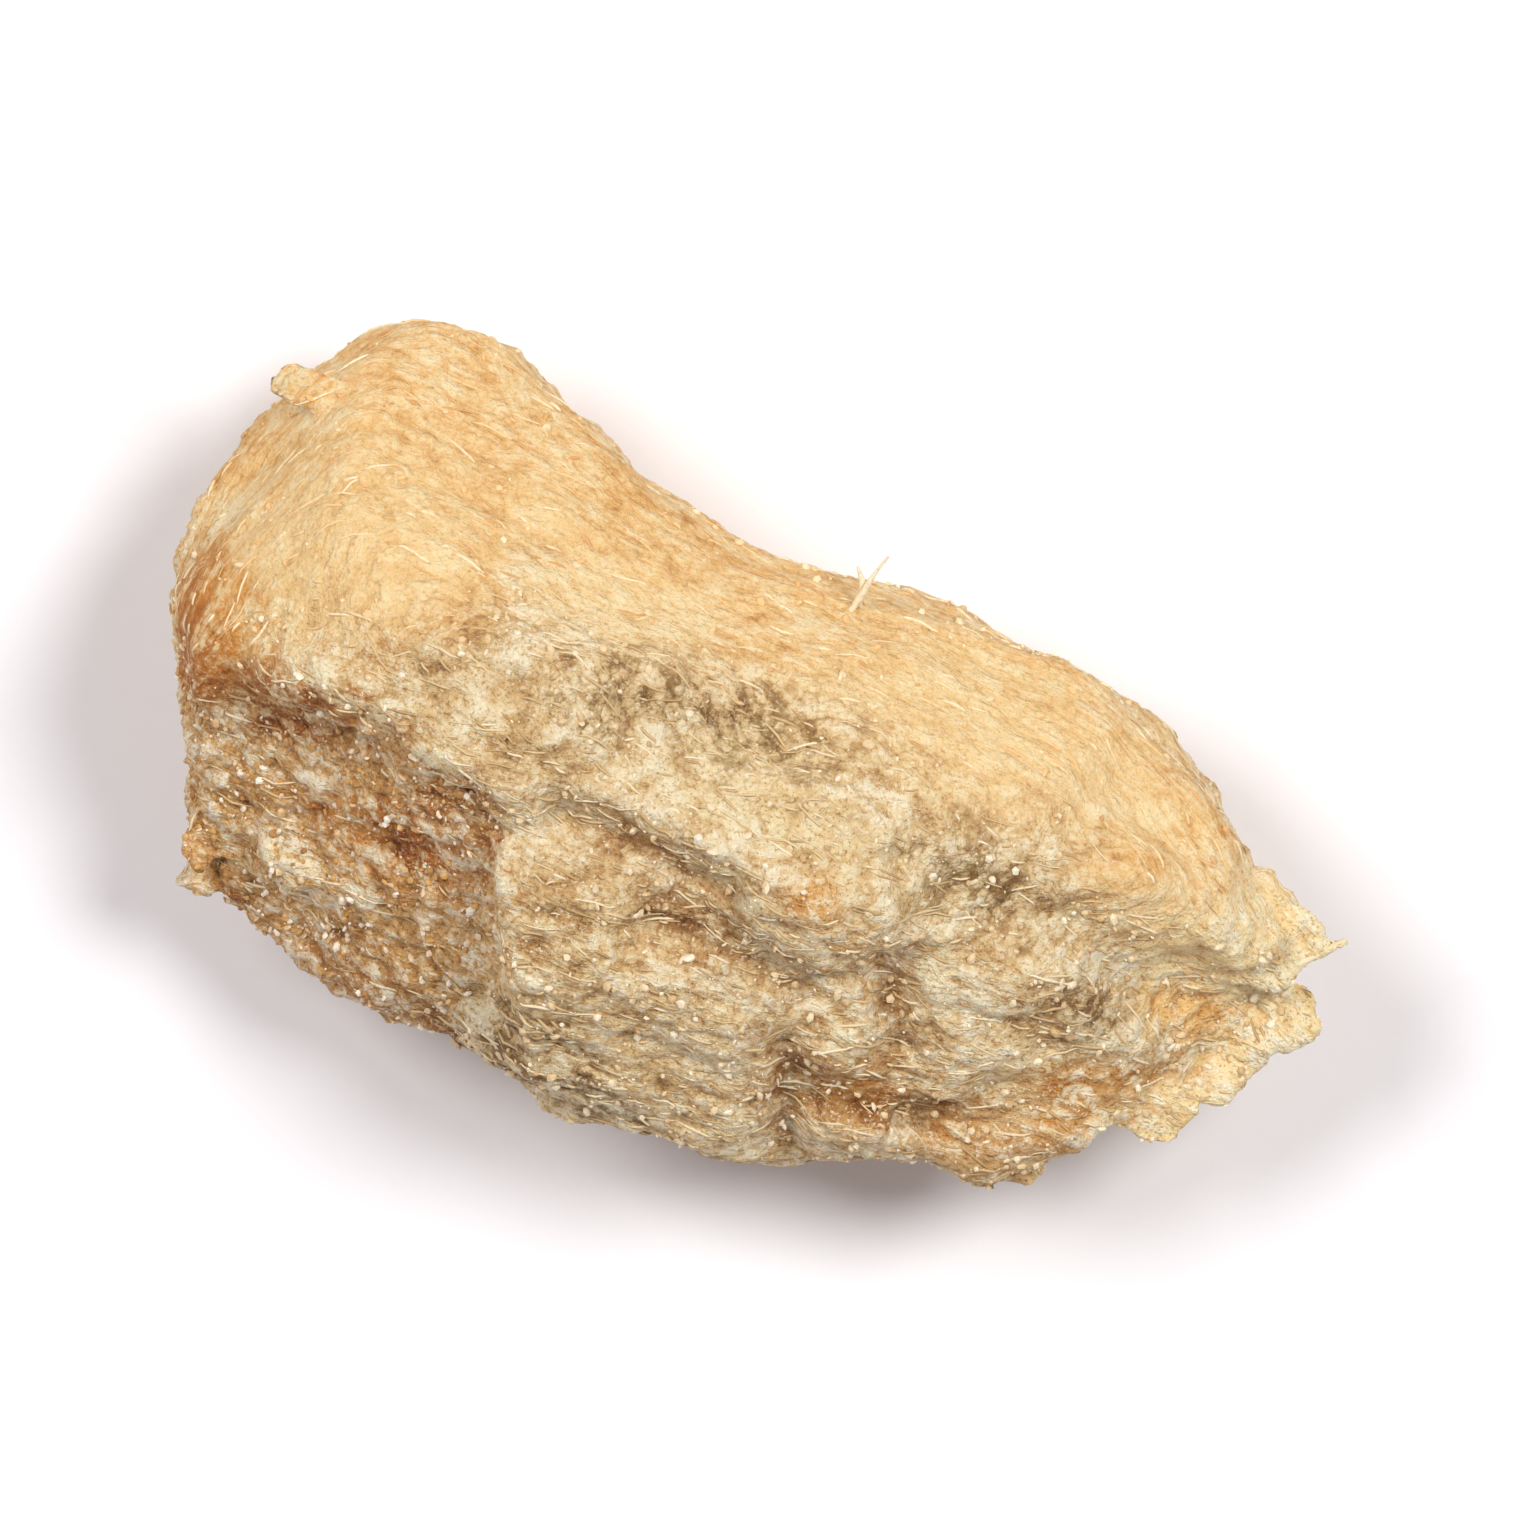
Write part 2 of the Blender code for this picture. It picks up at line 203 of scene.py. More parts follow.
class Graph:
    """A node tree with short ways to add nodes and to join their sockets."""

    def __init__(self, tree: bpy.types.NodeTree) -> None:
        """Wraps a tree and empties it."""
        self.tree = tree
        tree.nodes.clear()

    def add(self, kind: str, sockets: dict | None = None, **settings: object) -> bpy.types.Node:
        """Adds one node.

        Args:
            kind: Blender's identifier of the node's type.
            sockets: Values or output sockets for its inputs, by name or index.
            settings: The node's own properties.

        Returns:
            The new node.
        """
        node = self.tree.nodes.new(kind)
        for name, value in settings.items():
            setattr(node, name, value)
        for name, value in (sockets or {}).items():
            self.feed(node.inputs[name], value)
        return node

    def feed(self, socket: Socket, value: SocketValue) -> None:
        """Links an output to an input socket, or sets the input's own value.

        Args:
            socket: The input socket.
            value: The output to link, or the value to set.
        """
        if isinstance(value, bpy.types.NodeSocket):
            self.tree.links.new(value, socket)
        else:
            socket.default_value = value

    def math(self, operation: str, *values: SocketValue) -> Socket:
        """The result of a new Math node."""
        return self.add("ShaderNodeMath", dict(enumerate(values)), operation=operation).outputs[0]

    def vector(self, operation: str, *values: SocketValue) -> Socket:
        """The vector that comes out of a new Vector Math node."""
        node = self.add("ShaderNodeVectorMath", dict(enumerate(values)), operation=operation)
        return node.outputs["Vector"]

    def remap(
        self, value: SocketValue, low: float, high: float, start: float = 0.0, end: float = 1.0
    ) -> Socket:
        """Maps one range smoothly onto another, clamped.

        Args:
            value: What is mapped.
            low: The value that becomes start.
            high: The value that becomes end.
            start: The result at low and before it.
            end: The result at high and past it.

        Returns:
            The mapped value.
        """
        node = self.add(
            "ShaderNodeMapRange",
            {"Value": value, "From Min": low, "From Max": high, "To Min": start, "To Max": end},
            interpolation_type="SMOOTHSTEP",
        )
        return node.outputs["Result"]

    def noise(self, place: Socket, scale: float, detail: float = 3.0, rough: float = 0.55) -> Socket:
        """Adds soft fractal noise round 0.5.

        Args:
            place: Where the noise is read.
            scale: Its waves in a unit of length.
            detail: How many finer noises it holds.
            rough: How strong they are.

        Returns:
            The noise.
        """
        node = self.add(
            "ShaderNodeTexNoise",
            {"Vector": place, "Scale": scale, "Detail": detail, "Roughness": rough},
        )
        return node.outputs[0]

    def cells(self, place: Socket, scale: SocketValue) -> bpy.types.Node:
        """Adds a cell pattern and returns its node."""
        return self.add("ShaderNodeTexVoronoi", {"Vector": place, "Scale": scale})

    def streaks(self, place: Socket, length: float, width: float) -> Socket:
        """Stretches a place whose X runs along the grain, for a pattern of scale 1.

        Args:
            place: The place along, across and above the grain, in mm.
            length: Length of a streak in mm.
            width: Width of a streak in mm.

        Returns:
            The stretched place.
        """
        return self.vector("MULTIPLY", place, (1 / length, 1 / width, 1 / width))

    def level(self, value: Socket, gain: SocketValue, middle: float = MIDDLE) -> Socket:
        """Centres a value on zero and scales it."""
        return self.math("MULTIPLY", self.math("SUBTRACT", value, middle), gain)

    def less(self, share: Socket, loss: float) -> Socket:
        """One where a share is zero, and less by the loss where it is one."""
        return self.math("MULTIPLY_ADD", share, -loss, 1.0)

    def layered(self, layers: Iterable[Layer], ground: float) -> Socket:
        """Adds up patterns into a height.

        Args:
            layers: Each pattern's value, its middle and how much it counts for.
            ground: The height where every pattern is at its middle.

        Returns:
            The height.
        """
        height = ground
        for value, middle, gain in layers:
            height = self.math("ADD", height, self.level(value, gain, middle))
        return height

    def part(self, value: Socket, axis: int) -> Socket:
        """One part of a vector: 0, 1 or 2 for X, Y or Z."""
        return self.add("ShaderNodeSeparateXYZ", {0: value}).outputs[axis]

    def join(self, x: SocketValue, y: SocketValue, z: SocketValue) -> Socket:
        """The vector with three given parts."""
        return self.add("ShaderNodeCombineXYZ", {0: x, 1: y, 2: z}).outputs[0]

    def even(self, value: Socket) -> Socket:
        """The vector whose three parts are all one value."""
        return self.join(value, value, value)


class Shader(Graph):
    """A material's node tree."""

    def __init__(self, name: str) -> None:
        """Makes an empty material.

        Args:
            name: The material's name.
        """
        self.material = bpy.data.materials.new(name)
        self.material.use_nodes = True
        super().__init__(self.material.node_tree)

    def place_mm(self) -> Socket:
        """The place on the object, in mm."""
        coordinates = self.add("ShaderNodeTexCoord").outputs["Object"]
        return self.vector("MULTIPLY", coordinates, (1 / MM, 1 / MM, 1 / MM))

    def attribute(self, name: str) -> Socket:
        """The value of a mesh attribute."""
        return self.add("ShaderNodeAttribute", attribute_name=name).outputs["Fac"]

    def direction(self, name: str) -> Socket:
        """The vector of a mesh attribute."""
        return self.add("ShaderNodeAttribute", attribute_name=name).outputs["Vector"]

    def channel(self, colour: Socket, index: int) -> Socket:
        """One channel of a colour: 0, 1 or 2 for red, green or blue."""
        return self.add("ShaderNodeSeparateColor", {0: colour}).outputs[index]

    def ramp(self, value: Socket, stops: Stops) -> Socket:
        """Turns a value into a colour.

        Args:
            value: What is looked up.
            stops: Positions and screen colours, in rising order.

        Returns:
            The colour.
        """
        node = self.add("ShaderNodeValToRGB", {0: value})
        marks = node.color_ramp.elements
        while len(marks) < len(stops):
            marks.new(0.5)
        for mark, (position, colour) in zip(marks, stops):
            mark.position = position
            mark.color = linear(colour)
        return node.outputs[0]

    def by_tissue(self, value: Socket, skin: Stops, others: dict[Tissue, Stops]) -> Socket:
        """Turns a value into a colour, by a ramp of its own on each tissue.

        Args:
            value: What is looked up.
            skin: The ramp of the wrinkled skin, which shows where there is no other tissue.
            others: The ramps of other tissues, each laid over those before it.

        Returns:
            The colour.
        """
        colour = self.ramp(value, skin)
        for tissue, stops in others.items():
            colour = self.blend(self.attribute(tissue.value), colour, self.ramp(value, stops))
        return colour

    def blend(
        self, share: Socket, first: SocketValue, second: SocketValue, how: Blend = Blend.COVER
    ) -> Socket:
        """Mixes two colours.

        Args:
            share: How much of the second colour shows.
            first: The colour underneath.
            second: The colour laid over it.
            how: How the second is laid over the first.

        Returns:
            The mixed colour.
        """
        node = self.add("ShaderNodeMix", data_type="RGBA", blend_type=how.value)
        self.feed(node.inputs["Factor"], share)
        self.feed(node.inputs[6], first)
        self.feed(node.inputs[7], second)
        return node.outputs[2]

    def finish(
        self, sockets: dict, height: Socket, depth: float, strength: float
    ) -> bpy.types.Material:
        """Ends the tree in a Principled shader with a bump.

        Args:
            sockets: Values or sockets for the Principled shader's inputs.
            height: The bump's height.
            depth: What a height of one stands for, in metres.
            strength: The bump's strength.

        Returns:
            The finished material.
        """
        bump = self.add("ShaderNodeBump", {"Height": height, "Distance": depth, "Strength": strength})
        shader = self.add("ShaderNodeBsdfPrincipled", {**sockets, "Normal": bump.outputs[0]})
        self.add("ShaderNodeOutputMaterial", {"Surface": shader.outputs[0]})
        return self.material


class Growth(Graph):
    """A Geometry Nodes tree with named inputs, ending in realized geometry with a material."""

    def __init__(self, name: str, sizes: dict[str, float]) -> None:
        """Makes a tree with a geometry input, one input for each size, a seed and a material.

        Args:
            name: The tree's name.
            sizes: Names and values of its inputs.
        """
        super().__init__(bpy.data.node_groups.new(name, "GeometryNodeTree"))
        face = self.tree.interface
        face.new_socket("Geometry", in_out="INPUT", socket_type="NodeSocketGeometry")
        self.sizes = sizes
        self.identifiers = {
            size: face.new_socket(size, in_out="INPUT", socket_type="NodeSocketFloat").identifier
            for size in sizes
        }
        self.seed = face.new_socket("Seed", in_out="INPUT", socket_type="NodeSocketInt").identifier
        self.dress = face.new_socket(
            "Material", in_out="INPUT", socket_type="NodeSocketMaterial"
        ).identifier
        face.new_socket("Geometry", in_out="OUTPUT", socket_type="NodeSocketGeometry")
        self.inputs = self.add("NodeGroupInput").outputs

    def place(self) -> Socket:
        """The place of each point, in mm."""
        return self.add("GeometryNodeInputPosition").outputs[0]

    def normal(self) -> Socket:
        """The normal of each point."""
        return self.add("GeometryNodeInputNormal").outputs[0]

    def named(self, name: str, kind: str = "FLOAT") -> Socket:
        """The value of a named attribute of one kind, FLOAT or FLOAT_VECTOR."""
        node = self.add("GeometryNodeInputNamedAttribute", {"Name": name}, data_type=kind)
        return node.outputs["Attribute"]

    def scatter(self, density: Socket) -> bpy.types.Node:
        """Scatters points over the tree's own mesh, none of them on its flat underside.

        Args:
            density: How many points stand on a square mm.

        Returns:
            The node, with the points and their normals.
        """
        above = self.remap(self.part(self.normal(), 2), *UNDERSIDE_TILT)
        clear = self.remap(self.part(self.place(), 2), *UNDERSIDE_HEIGHT)
        return self.add(
            "GeometryNodeDistributePointsOnFaces",
            {
                "Mesh": self.inputs["Geometry"],
                "Density": self.math("MULTIPLY", density, self.math("MULTIPLY", above, clear)),
                "Seed": self.inputs["Seed"],
            },
        )

    def store(self, geometry: Socket, name: str, value: SocketValue, domain: str = "POINT") -> Socket:
        """Writes a named attribute.

        Args:
            geometry: The geometry that it is written on.
            name: The attribute's name.
            value: Its value on each element.
            domain: What its elements are, POINT or INSTANCE.

        Returns:
            The geometry with the attribute.
        """
        node = self.add(
            "GeometryNodeStoreNamedAttribute",
            {"Geometry": geometry, "Name": name, "Value": value},
            data_type="FLOAT",
            domain=domain,
        )
        return node.outputs[0]

    def random(self, low: SocketValue, high: SocketValue, draw: int) -> Socket:
        """Draws a random number for each element.

        Args:
            low: The least number.
            high: The greatest number.
            draw: Which draw it is. Each gives other numbers.

        Returns:
            The number.
        """
        seed = self.math("ADD", self.inputs["Seed"], draw)
        node = self.add("FunctionNodeRandomValue", data_type="FLOAT")
        self.feed(node.inputs[2], low)
        self.feed(node.inputs[3], high)
        self.feed(node.inputs["Seed"], seed)
        return node.outputs[1]

    def tube(self, curves: Socket, radius: Socket, corners: int) -> Socket:
        """Makes curves solid.

        Args:
            curves: The curves.
            radius: Their radius at each point, in mm.
            corners: The number of corners of their section.

        Returns:
            The curves as closed tubes.
        """
        section = self.add("GeometryNodeCurvePrimitiveCircle", {"Resolution": corners, "Radius": 1.0})
        node = self.add(
            "GeometryNodeCurveToMesh",
            {
                "Curve": curves,
                "Profile Curve": section.outputs[0],
                "Scale": radius,
                "Fill Caps": True,
            },
        )
        return node.outputs[0]

    def close(self, geometry: Socket) -> None:
        """Ends the tree: the geometry is realized, dressed and put out.

        Args:
            geometry: What the tree has made.
        """
        real = self.add("GeometryNodeRealizeInstances", {0: geometry}).outputs[0]
        dressed = self.add(
            "GeometryNodeSetMaterial", {"Geometry": real, "Material": self.inputs["Material"]}
        )
        self.add("NodeGroupOutput", {0: dressed.outputs[0]})

    def grow_on(
        self, base: bpy.types.Mesh, name: str, seed: int, material: bpy.types.Material
    ) -> bpy.types.Mesh:
        """Runs the tree on a mesh.

        Args:
            base: The mesh in mm that the tree starts from.
            name: The new mesh's name.
            seed: The fixed seed of everything random in the tree.
            material: The material that the new mesh wears.

        Returns:
            The plain mesh that comes out, in mm.
        """
        carrier = bpy.data.objects.new(name + "_carrier", base)
        bpy.context.scene.collection.objects.link(carrier)
        modifier = carrier.modifiers.new(self.tree.name, "NODES")
        modifier.node_group = self.tree
        for size, identifier in self.identifiers.items():
            modifier[identifier] = self.sizes[size]
        modifier[self.seed] = seed
        modifier[self.dress] = material
        mesh = plain_mesh(carrier, name)
        bpy.data.objects.remove(carrier)
        return mesh


def plain_mesh(obj: bpy.types.Object, name: str) -> bpy.types.Mesh:
    """Makes a plain mesh of what an object's modifiers make.

    Args:
        obj: The object with its modifiers.
        name: The new mesh's name.

    Returns:
        The new mesh.
    """
    graph = bpy.context.evaluated_depsgraph_get()
    graph.update()
    mesh = bpy.data.meshes.new_from_object(obj.evaluated_get(graph), depsgraph=graph)
    mesh.name = name
    return mesh


def triangles(mesh: bpy.types.Mesh) -> int:
    """How many triangles a mesh has."""
    mesh.calc_loop_triangles()
    return len(mesh.loop_triangles)


def set_down(mesh: bpy.types.Mesh, name: str) -> bpy.types.Object:
    """Makes a finished piece of a mesh in mm: it stands in metres and rides on the chip's body.

    Args:
        mesh: The finished mesh, in mm.
        name: The piece's name.

    Returns:
        The piece.
    """
    mesh.transform(Matrix.Scale(MM, 4))
    piece = bpy.data.objects.new(name, mesh)
    bpy.context.scene.collection.objects.link(piece)
    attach(piece, BODY)
    LOG.info("%s: %d triangles", name, triangles(mesh))
    return piece


@dataclass(frozen=True)
class Felt:
    """The flesh's finest relief, too fine for the mesh.

    A size is in mm, along and across the grain. A scale is in waves a mm.
    """

    wander_scale: float = 1.4
    wander: float = 0.35
    granule_size: Pair = (0.25, 0.15)
    granule_hollow: float = -0.32
    granule_step: float = 0.16
    crumb_scale: float = 14.0
    crumb_hollow: float = -0.22
    crumb_step: float = 0.20
    cell_middle: float = 0.48
    strand_size: Pair = (0.60, 0.09)
    strand_rise: float = 0.8
    lump_scale: float = 3.6
    lump_rise: float = 0.5
    grit_scale: float = 42.0
    grit_rise: float = 0.34

    def height(self, shader: Shader) -> Socket:
        """Lays granules, crumbs, strands, lumps and grit over each other.

        Args:
            shader: The material's tree.

        Returns:
            The height of the relief, round 0.5.
        """
        place = shader.place_mm()
        sway = shader.add(
            "ShaderNodeTexNoise", {"Vector": place, "Scale": self.wander_scale, "Detail": 2.0}
        ).outputs["Color"]
        grain = shader.vector("MULTIPLY_ADD", sway, (self.wander,) * 3, shader.direction(GRAIN_PLACE))
        granule = shader.cells(shader.streaks(grain, *self.granule_size), 1.0).outputs
        crumb = shader.cells(place, self.crumb_scale).outputs
        strand = shader.noise(shader.streaks(grain, *self.strand_size), 1.0, rough=0.6)
        lump = shader.noise(place, self.lump_scale, rough=0.6)
        grit = shader.noise(place, self.grit_scale, rough=0.65)
        layers = (
            (granule["Distance"], self.cell_middle, self.granule_hollow),
            (lump, MIDDLE, self.lump_rise),
            (crumb["Distance"], self.cell_middle, self.crumb_hollow),
            (strand, MIDDLE, self.strand_rise),
            (grit, MIDDLE, self.grit_rise),
            (shader.channel(granule["Color"], 0), MIDDLE, self.granule_step),
            (shader.channel(crumb["Color"], 1), MIDDLE, self.crumb_step),
        )
        return shader.layered(layers, MIDDLE)


@dataclass(frozen=True)
class Speckle:
    """Specks of white dust, in clusters, and small dark pores, fewer where the skin is smooth."""

    dust: str = "FFF6E2"
    pore: str = "B48C5A"
    scale: float = 30.0
    cluster_scale: float = 2.7
    smooth_loss: float = 0.55
    cluster_fade: Fade = (0.35, 0.62, 0.25, 1.0)
    dust_fade: Fade = (0.55, 0.68, 0.0, 0.6)
    pore_fade: Fade = (0.44, 0.33, 0.0, 0.6)

    def lay(self, shader: Shader, colour: Socket) -> Socket:
        """Lays the dust and the pores over a colour.

        Args:
            shader: The material's tree.
            colour: The colour underneath.

        Returns:
            The speckled colour.
        """
        place = shader.place_mm()
        fine = shader.noise(place, self.scale, detail=2.0, rough=0.7)
        cluster = shader.noise(place, self.cluster_scale, detail=2.0)
        cluster = shader.remap(cluster, *self.cluster_fade)
        rough = shader.less(shader.attribute(Tissue.SMOOTH.value), self.smooth_loss)
        spread = shader.math("MULTIPLY", cluster, rough)
        dusted = shader.math("MULTIPLY", shader.remap(fine, *self.dust_fade), spread)
        pitted = shader.math("MULTIPLY", shader.remap(fine, *self.pore_fade), rough)
        colour = shader.blend(pitted, colour, linear(self.pore), Blend.TINT)
        return shader.blend(dusted, colour, linear(self.dust))


@dataclass(frozen=True)
class FleshFinish:
    """The chip's own surface: granules and strands, pale on top and brown in the gaps."""

    amber: Stops = ((0.08, "BC7E3C"), (0.29, "E4AF69"), (0.48, "F1C888"), (0.72, "F9E0AC"))
    skin: Stops = ((0.07, "8A6234"), (0.27, "C39A64"), (0.46, "E3C48E"), (0.69, "F5E6C2"))
    cut: Stops = ((0.10, "704520"), (0.28, "BA864A"), (0.46, "DAAB6A"), (0.69, "F6E8C8"))
    tip: Stops = ((0.02, "CC9F64"), (0.22, "F0CC90"), (0.44, "FBE2AA"), (0.68, "FEF3D2"))
    washes: tuple[Wash, ...] = (
        Wash(Stain.CREAM, "F6DCA2", 0.35, Blend.COVER, EVERYWHERE),
        Wash(Stain.HONEY, "F3CE92", 0.95, Blend.TINT, IN_GAPS),
        Wash(Stain.DARK, "BE9666", 0.65, Blend.TINT, IN_GAPS),
        Wash(Stain.GREY, "A29884", 0.80, Blend.TINT, (0.58, 0.32, 0.12, 1.0)),
        Wash(Stain.PALE, "EFDFB2", 0.45, Blend.COVER, (0.30, 0.50, 0.0, 1.0)),
    )
    # Painted shade: the dark colour laid along the furrows, and how it fades in with their nearness.
    furrow: str = "6A4724"
    furrow_shade_fade: Fade = (0.25, 0.9, 0.0, 0.38)
    felt: Felt = Felt()
    speckle: Speckle = Speckle()
    contrast: float = 0.84
    smooth_contrast: float = -0.06
    mottle_scale: float = 1.3
    mottle: float = 0.5
    # Painted light and shade: how much the mesh's relief darkens the colour in its hollows and
    # lightens it on its rises.
    relief_light_and_shade: float = 1.3
    roughness: Fade = (0.3, 0.8, 0.82, 0.52)
    specular: float = 0.35
    translucency: float = 0.12
    translucent_depth: float = 0.0003
    bump_depth: float = 0.000075
    bump_strength: float = 1.0

    def ground(self, shader: Shader, height: Socket) -> Socket:
        """The colour of the tissues, before stains and marks, with painted shade in the relief's
        hollows and painted light on its rises.

        Args:
            shader: The material's tree.
            height: The height of the finest relief.

        Returns:
            The colour.
        """
        smooth = shader.attribute(Tissue.SMOOTH.value)
        contrast = shader.math("MULTIPLY_ADD", smooth, self.smooth_contrast, self.contrast)
        layers = (
            (height, MIDDLE, contrast),
            (shader.noise(shader.place_mm(), self.mottle_scale), MIDDLE, self.mottle),
            # Painted shade: the mesh's hollows are coloured darker and its rises lighter.
            (shader.attribute(RELIEF), 0.0, self.relief_light_and_shade),
        )
        others = {Tissue.CUT: self.cut, Tissue.TIP: self.tip, Tissue.SMOOTH: self.amber}
        return shader.by_tissue(shader.layered(layers, MIDDLE), self.skin, others)

    def stained(self, shader: Shader, height: Socket, colour: Socket) -> Socket:
        """Lays the stains over a colour, and painted shade along the furrows.

        Args:
            shader: The material's tree.
            height: The height of the finest relief.
            colour: The colour underneath.

        Returns:
            The stained colour.
        """
        for wash in self.washes:
            reach = shader.math("MULTIPLY", shader.attribute(wash.stain.value), wash.share)
            share = shader.math("MULTIPLY", reach, shader.remap(height, *wash.by_height))
            colour = shader.blend(share, colour, linear(wash.tint), wash.blend)
        # Painted shade along the furrows, which are also cut into the mesh.
        shade = shader.remap(shader.attribute(Mark.FURROW.value), *self.furrow_shade_fade)
        return shader.blend(shade, colour, linear(self.furrow))

    def material(self) -> bpy.types.Material:
        """Builds the material.

        Returns:
            The finished material.
        """
        shader = Shader("dried_ginger_flesh")
        height = self.felt.height(shader)
        colour = self.stained(shader, height, self.ground(shader, height))
        sockets = {
            "Base Color": self.speckle.lay(shader, colour),
            "Roughness": shader.remap(height, *self.roughness),
            "Subsurface Weight": self.translucency,
            "Subsurface Scale": self.translucent_depth,
            "Specular IOR Level": self.specular,
        }
        return shader.finish(sockets, height, self.bump_depth, self.bump_strength)


@dataclass(frozen=True)
class GrainFinish:
    """Grains and crumbs of starch: pale, a little glassy, no two of the same tone."""

    skin: Stops = ((0.0, "C8A573"), (0.5, "E2C99C"), (1.0, "F6EBD0"))
    amber: Stops = ((0.0, "D8A361"), (0.5, "EFC88C"), (1.0, "F9E8C2"))
    cut: Stops = ((0.0, "A8763E"), (0.45, "D6AA68"), (1.0, "F6EEDA"))
    fine_scale: float = 40.0
    roughness: Fade = (0.3, 0.7, 0.33, 0.65)
    specular: float = 0.4
    bump_depth: float = 0.00001
    bump_strength: float = 0.6

    def material(self) -> bpy.types.Material:
        """Builds the material.

        Returns:
            The finished material.
        """
        shader = Shader("starch_grains")
        others = {Tissue.CUT: self.cut, Tissue.SMOOTH: self.amber}
        fine = shader.noise(shader.place_mm(), self.fine_scale, detail=2.0)
        sockets = {
            "Base Color": shader.by_tissue(shader.attribute(TONE), self.skin, others),
            "Roughness": shader.remap(fine, *self.roughness),
            "Specular IOR Level": self.specular,
        }
        return shader.finish(sockets, fine, self.bump_depth, self.bump_strength)


@dataclass(frozen=True)
class FibreFinish:
    """Fine fibres of the root: straw coloured, ambered where the skin is smooth."""

    skin: Stops = ((0.0, "C09C68"), (0.5, "DEC392"), (1.0, "F4E7C6"))
    amber: Stops = ((0.0, "DAA666"), (0.5, "F1CD93"), (1.0, "FBEAC4"))
    shade: str = "8A6838"
    shade_fade: Fade = (0.32, 0.5, 0.25, 0.0)
    fine_scale: float = 30.0
    roughness: Fade = (0.3, 0.7, 0.45, 0.75)
    specular: float = 0.35
    bump_depth: float = 0.00001
    bump_strength: float = 0.6

    def material(self) -> bpy.types.Material:
        """Builds the material.

        Returns:
            The finished material.
        """
        shader = Shader("root_fibres")
        colour = shader.by_tissue(shader.attribute(TONE), self.skin, {Tissue.SMOOTH: self.amber})
        fine = shader.noise(shader.place_mm(), self.fine_scale)
        shaded = shader.remap(fine, *self.shade_fade)
        sockets = {
            "Base Color": shader.blend(shaded, colour, linear(self.shade)),
            "Roughness": shader.remap(fine, *self.roughness),
            "Specular IOR Level": self.specular,
        }
        return shader.finish(sockets, fine, self.bump_depth, self.bump_strength)


@dataclass(frozen=True)
class PaperFinish:
    """The floor: plain matt white paper."""

    colour: str = "F4F2F3"
    roughness: float = 0.9
    fibre_scale: float = 4.0
    bump_depth: float = 0.00002
    bump_strength: float = 0.2

    def material(self) -> bpy.types.Material:
        """Builds the material.

        Returns:
            The finished material.
        """
        shader = Shader("white_paper")
        fibre = shader.noise(shader.place_mm(), self.fibre_scale, detail=4.0)
        sockets = {"Base Color": linear(self.colour), "Roughness": self.roughness}
        return shader.finish(sockets, fibre, self.bump_depth, self.bump_strength)


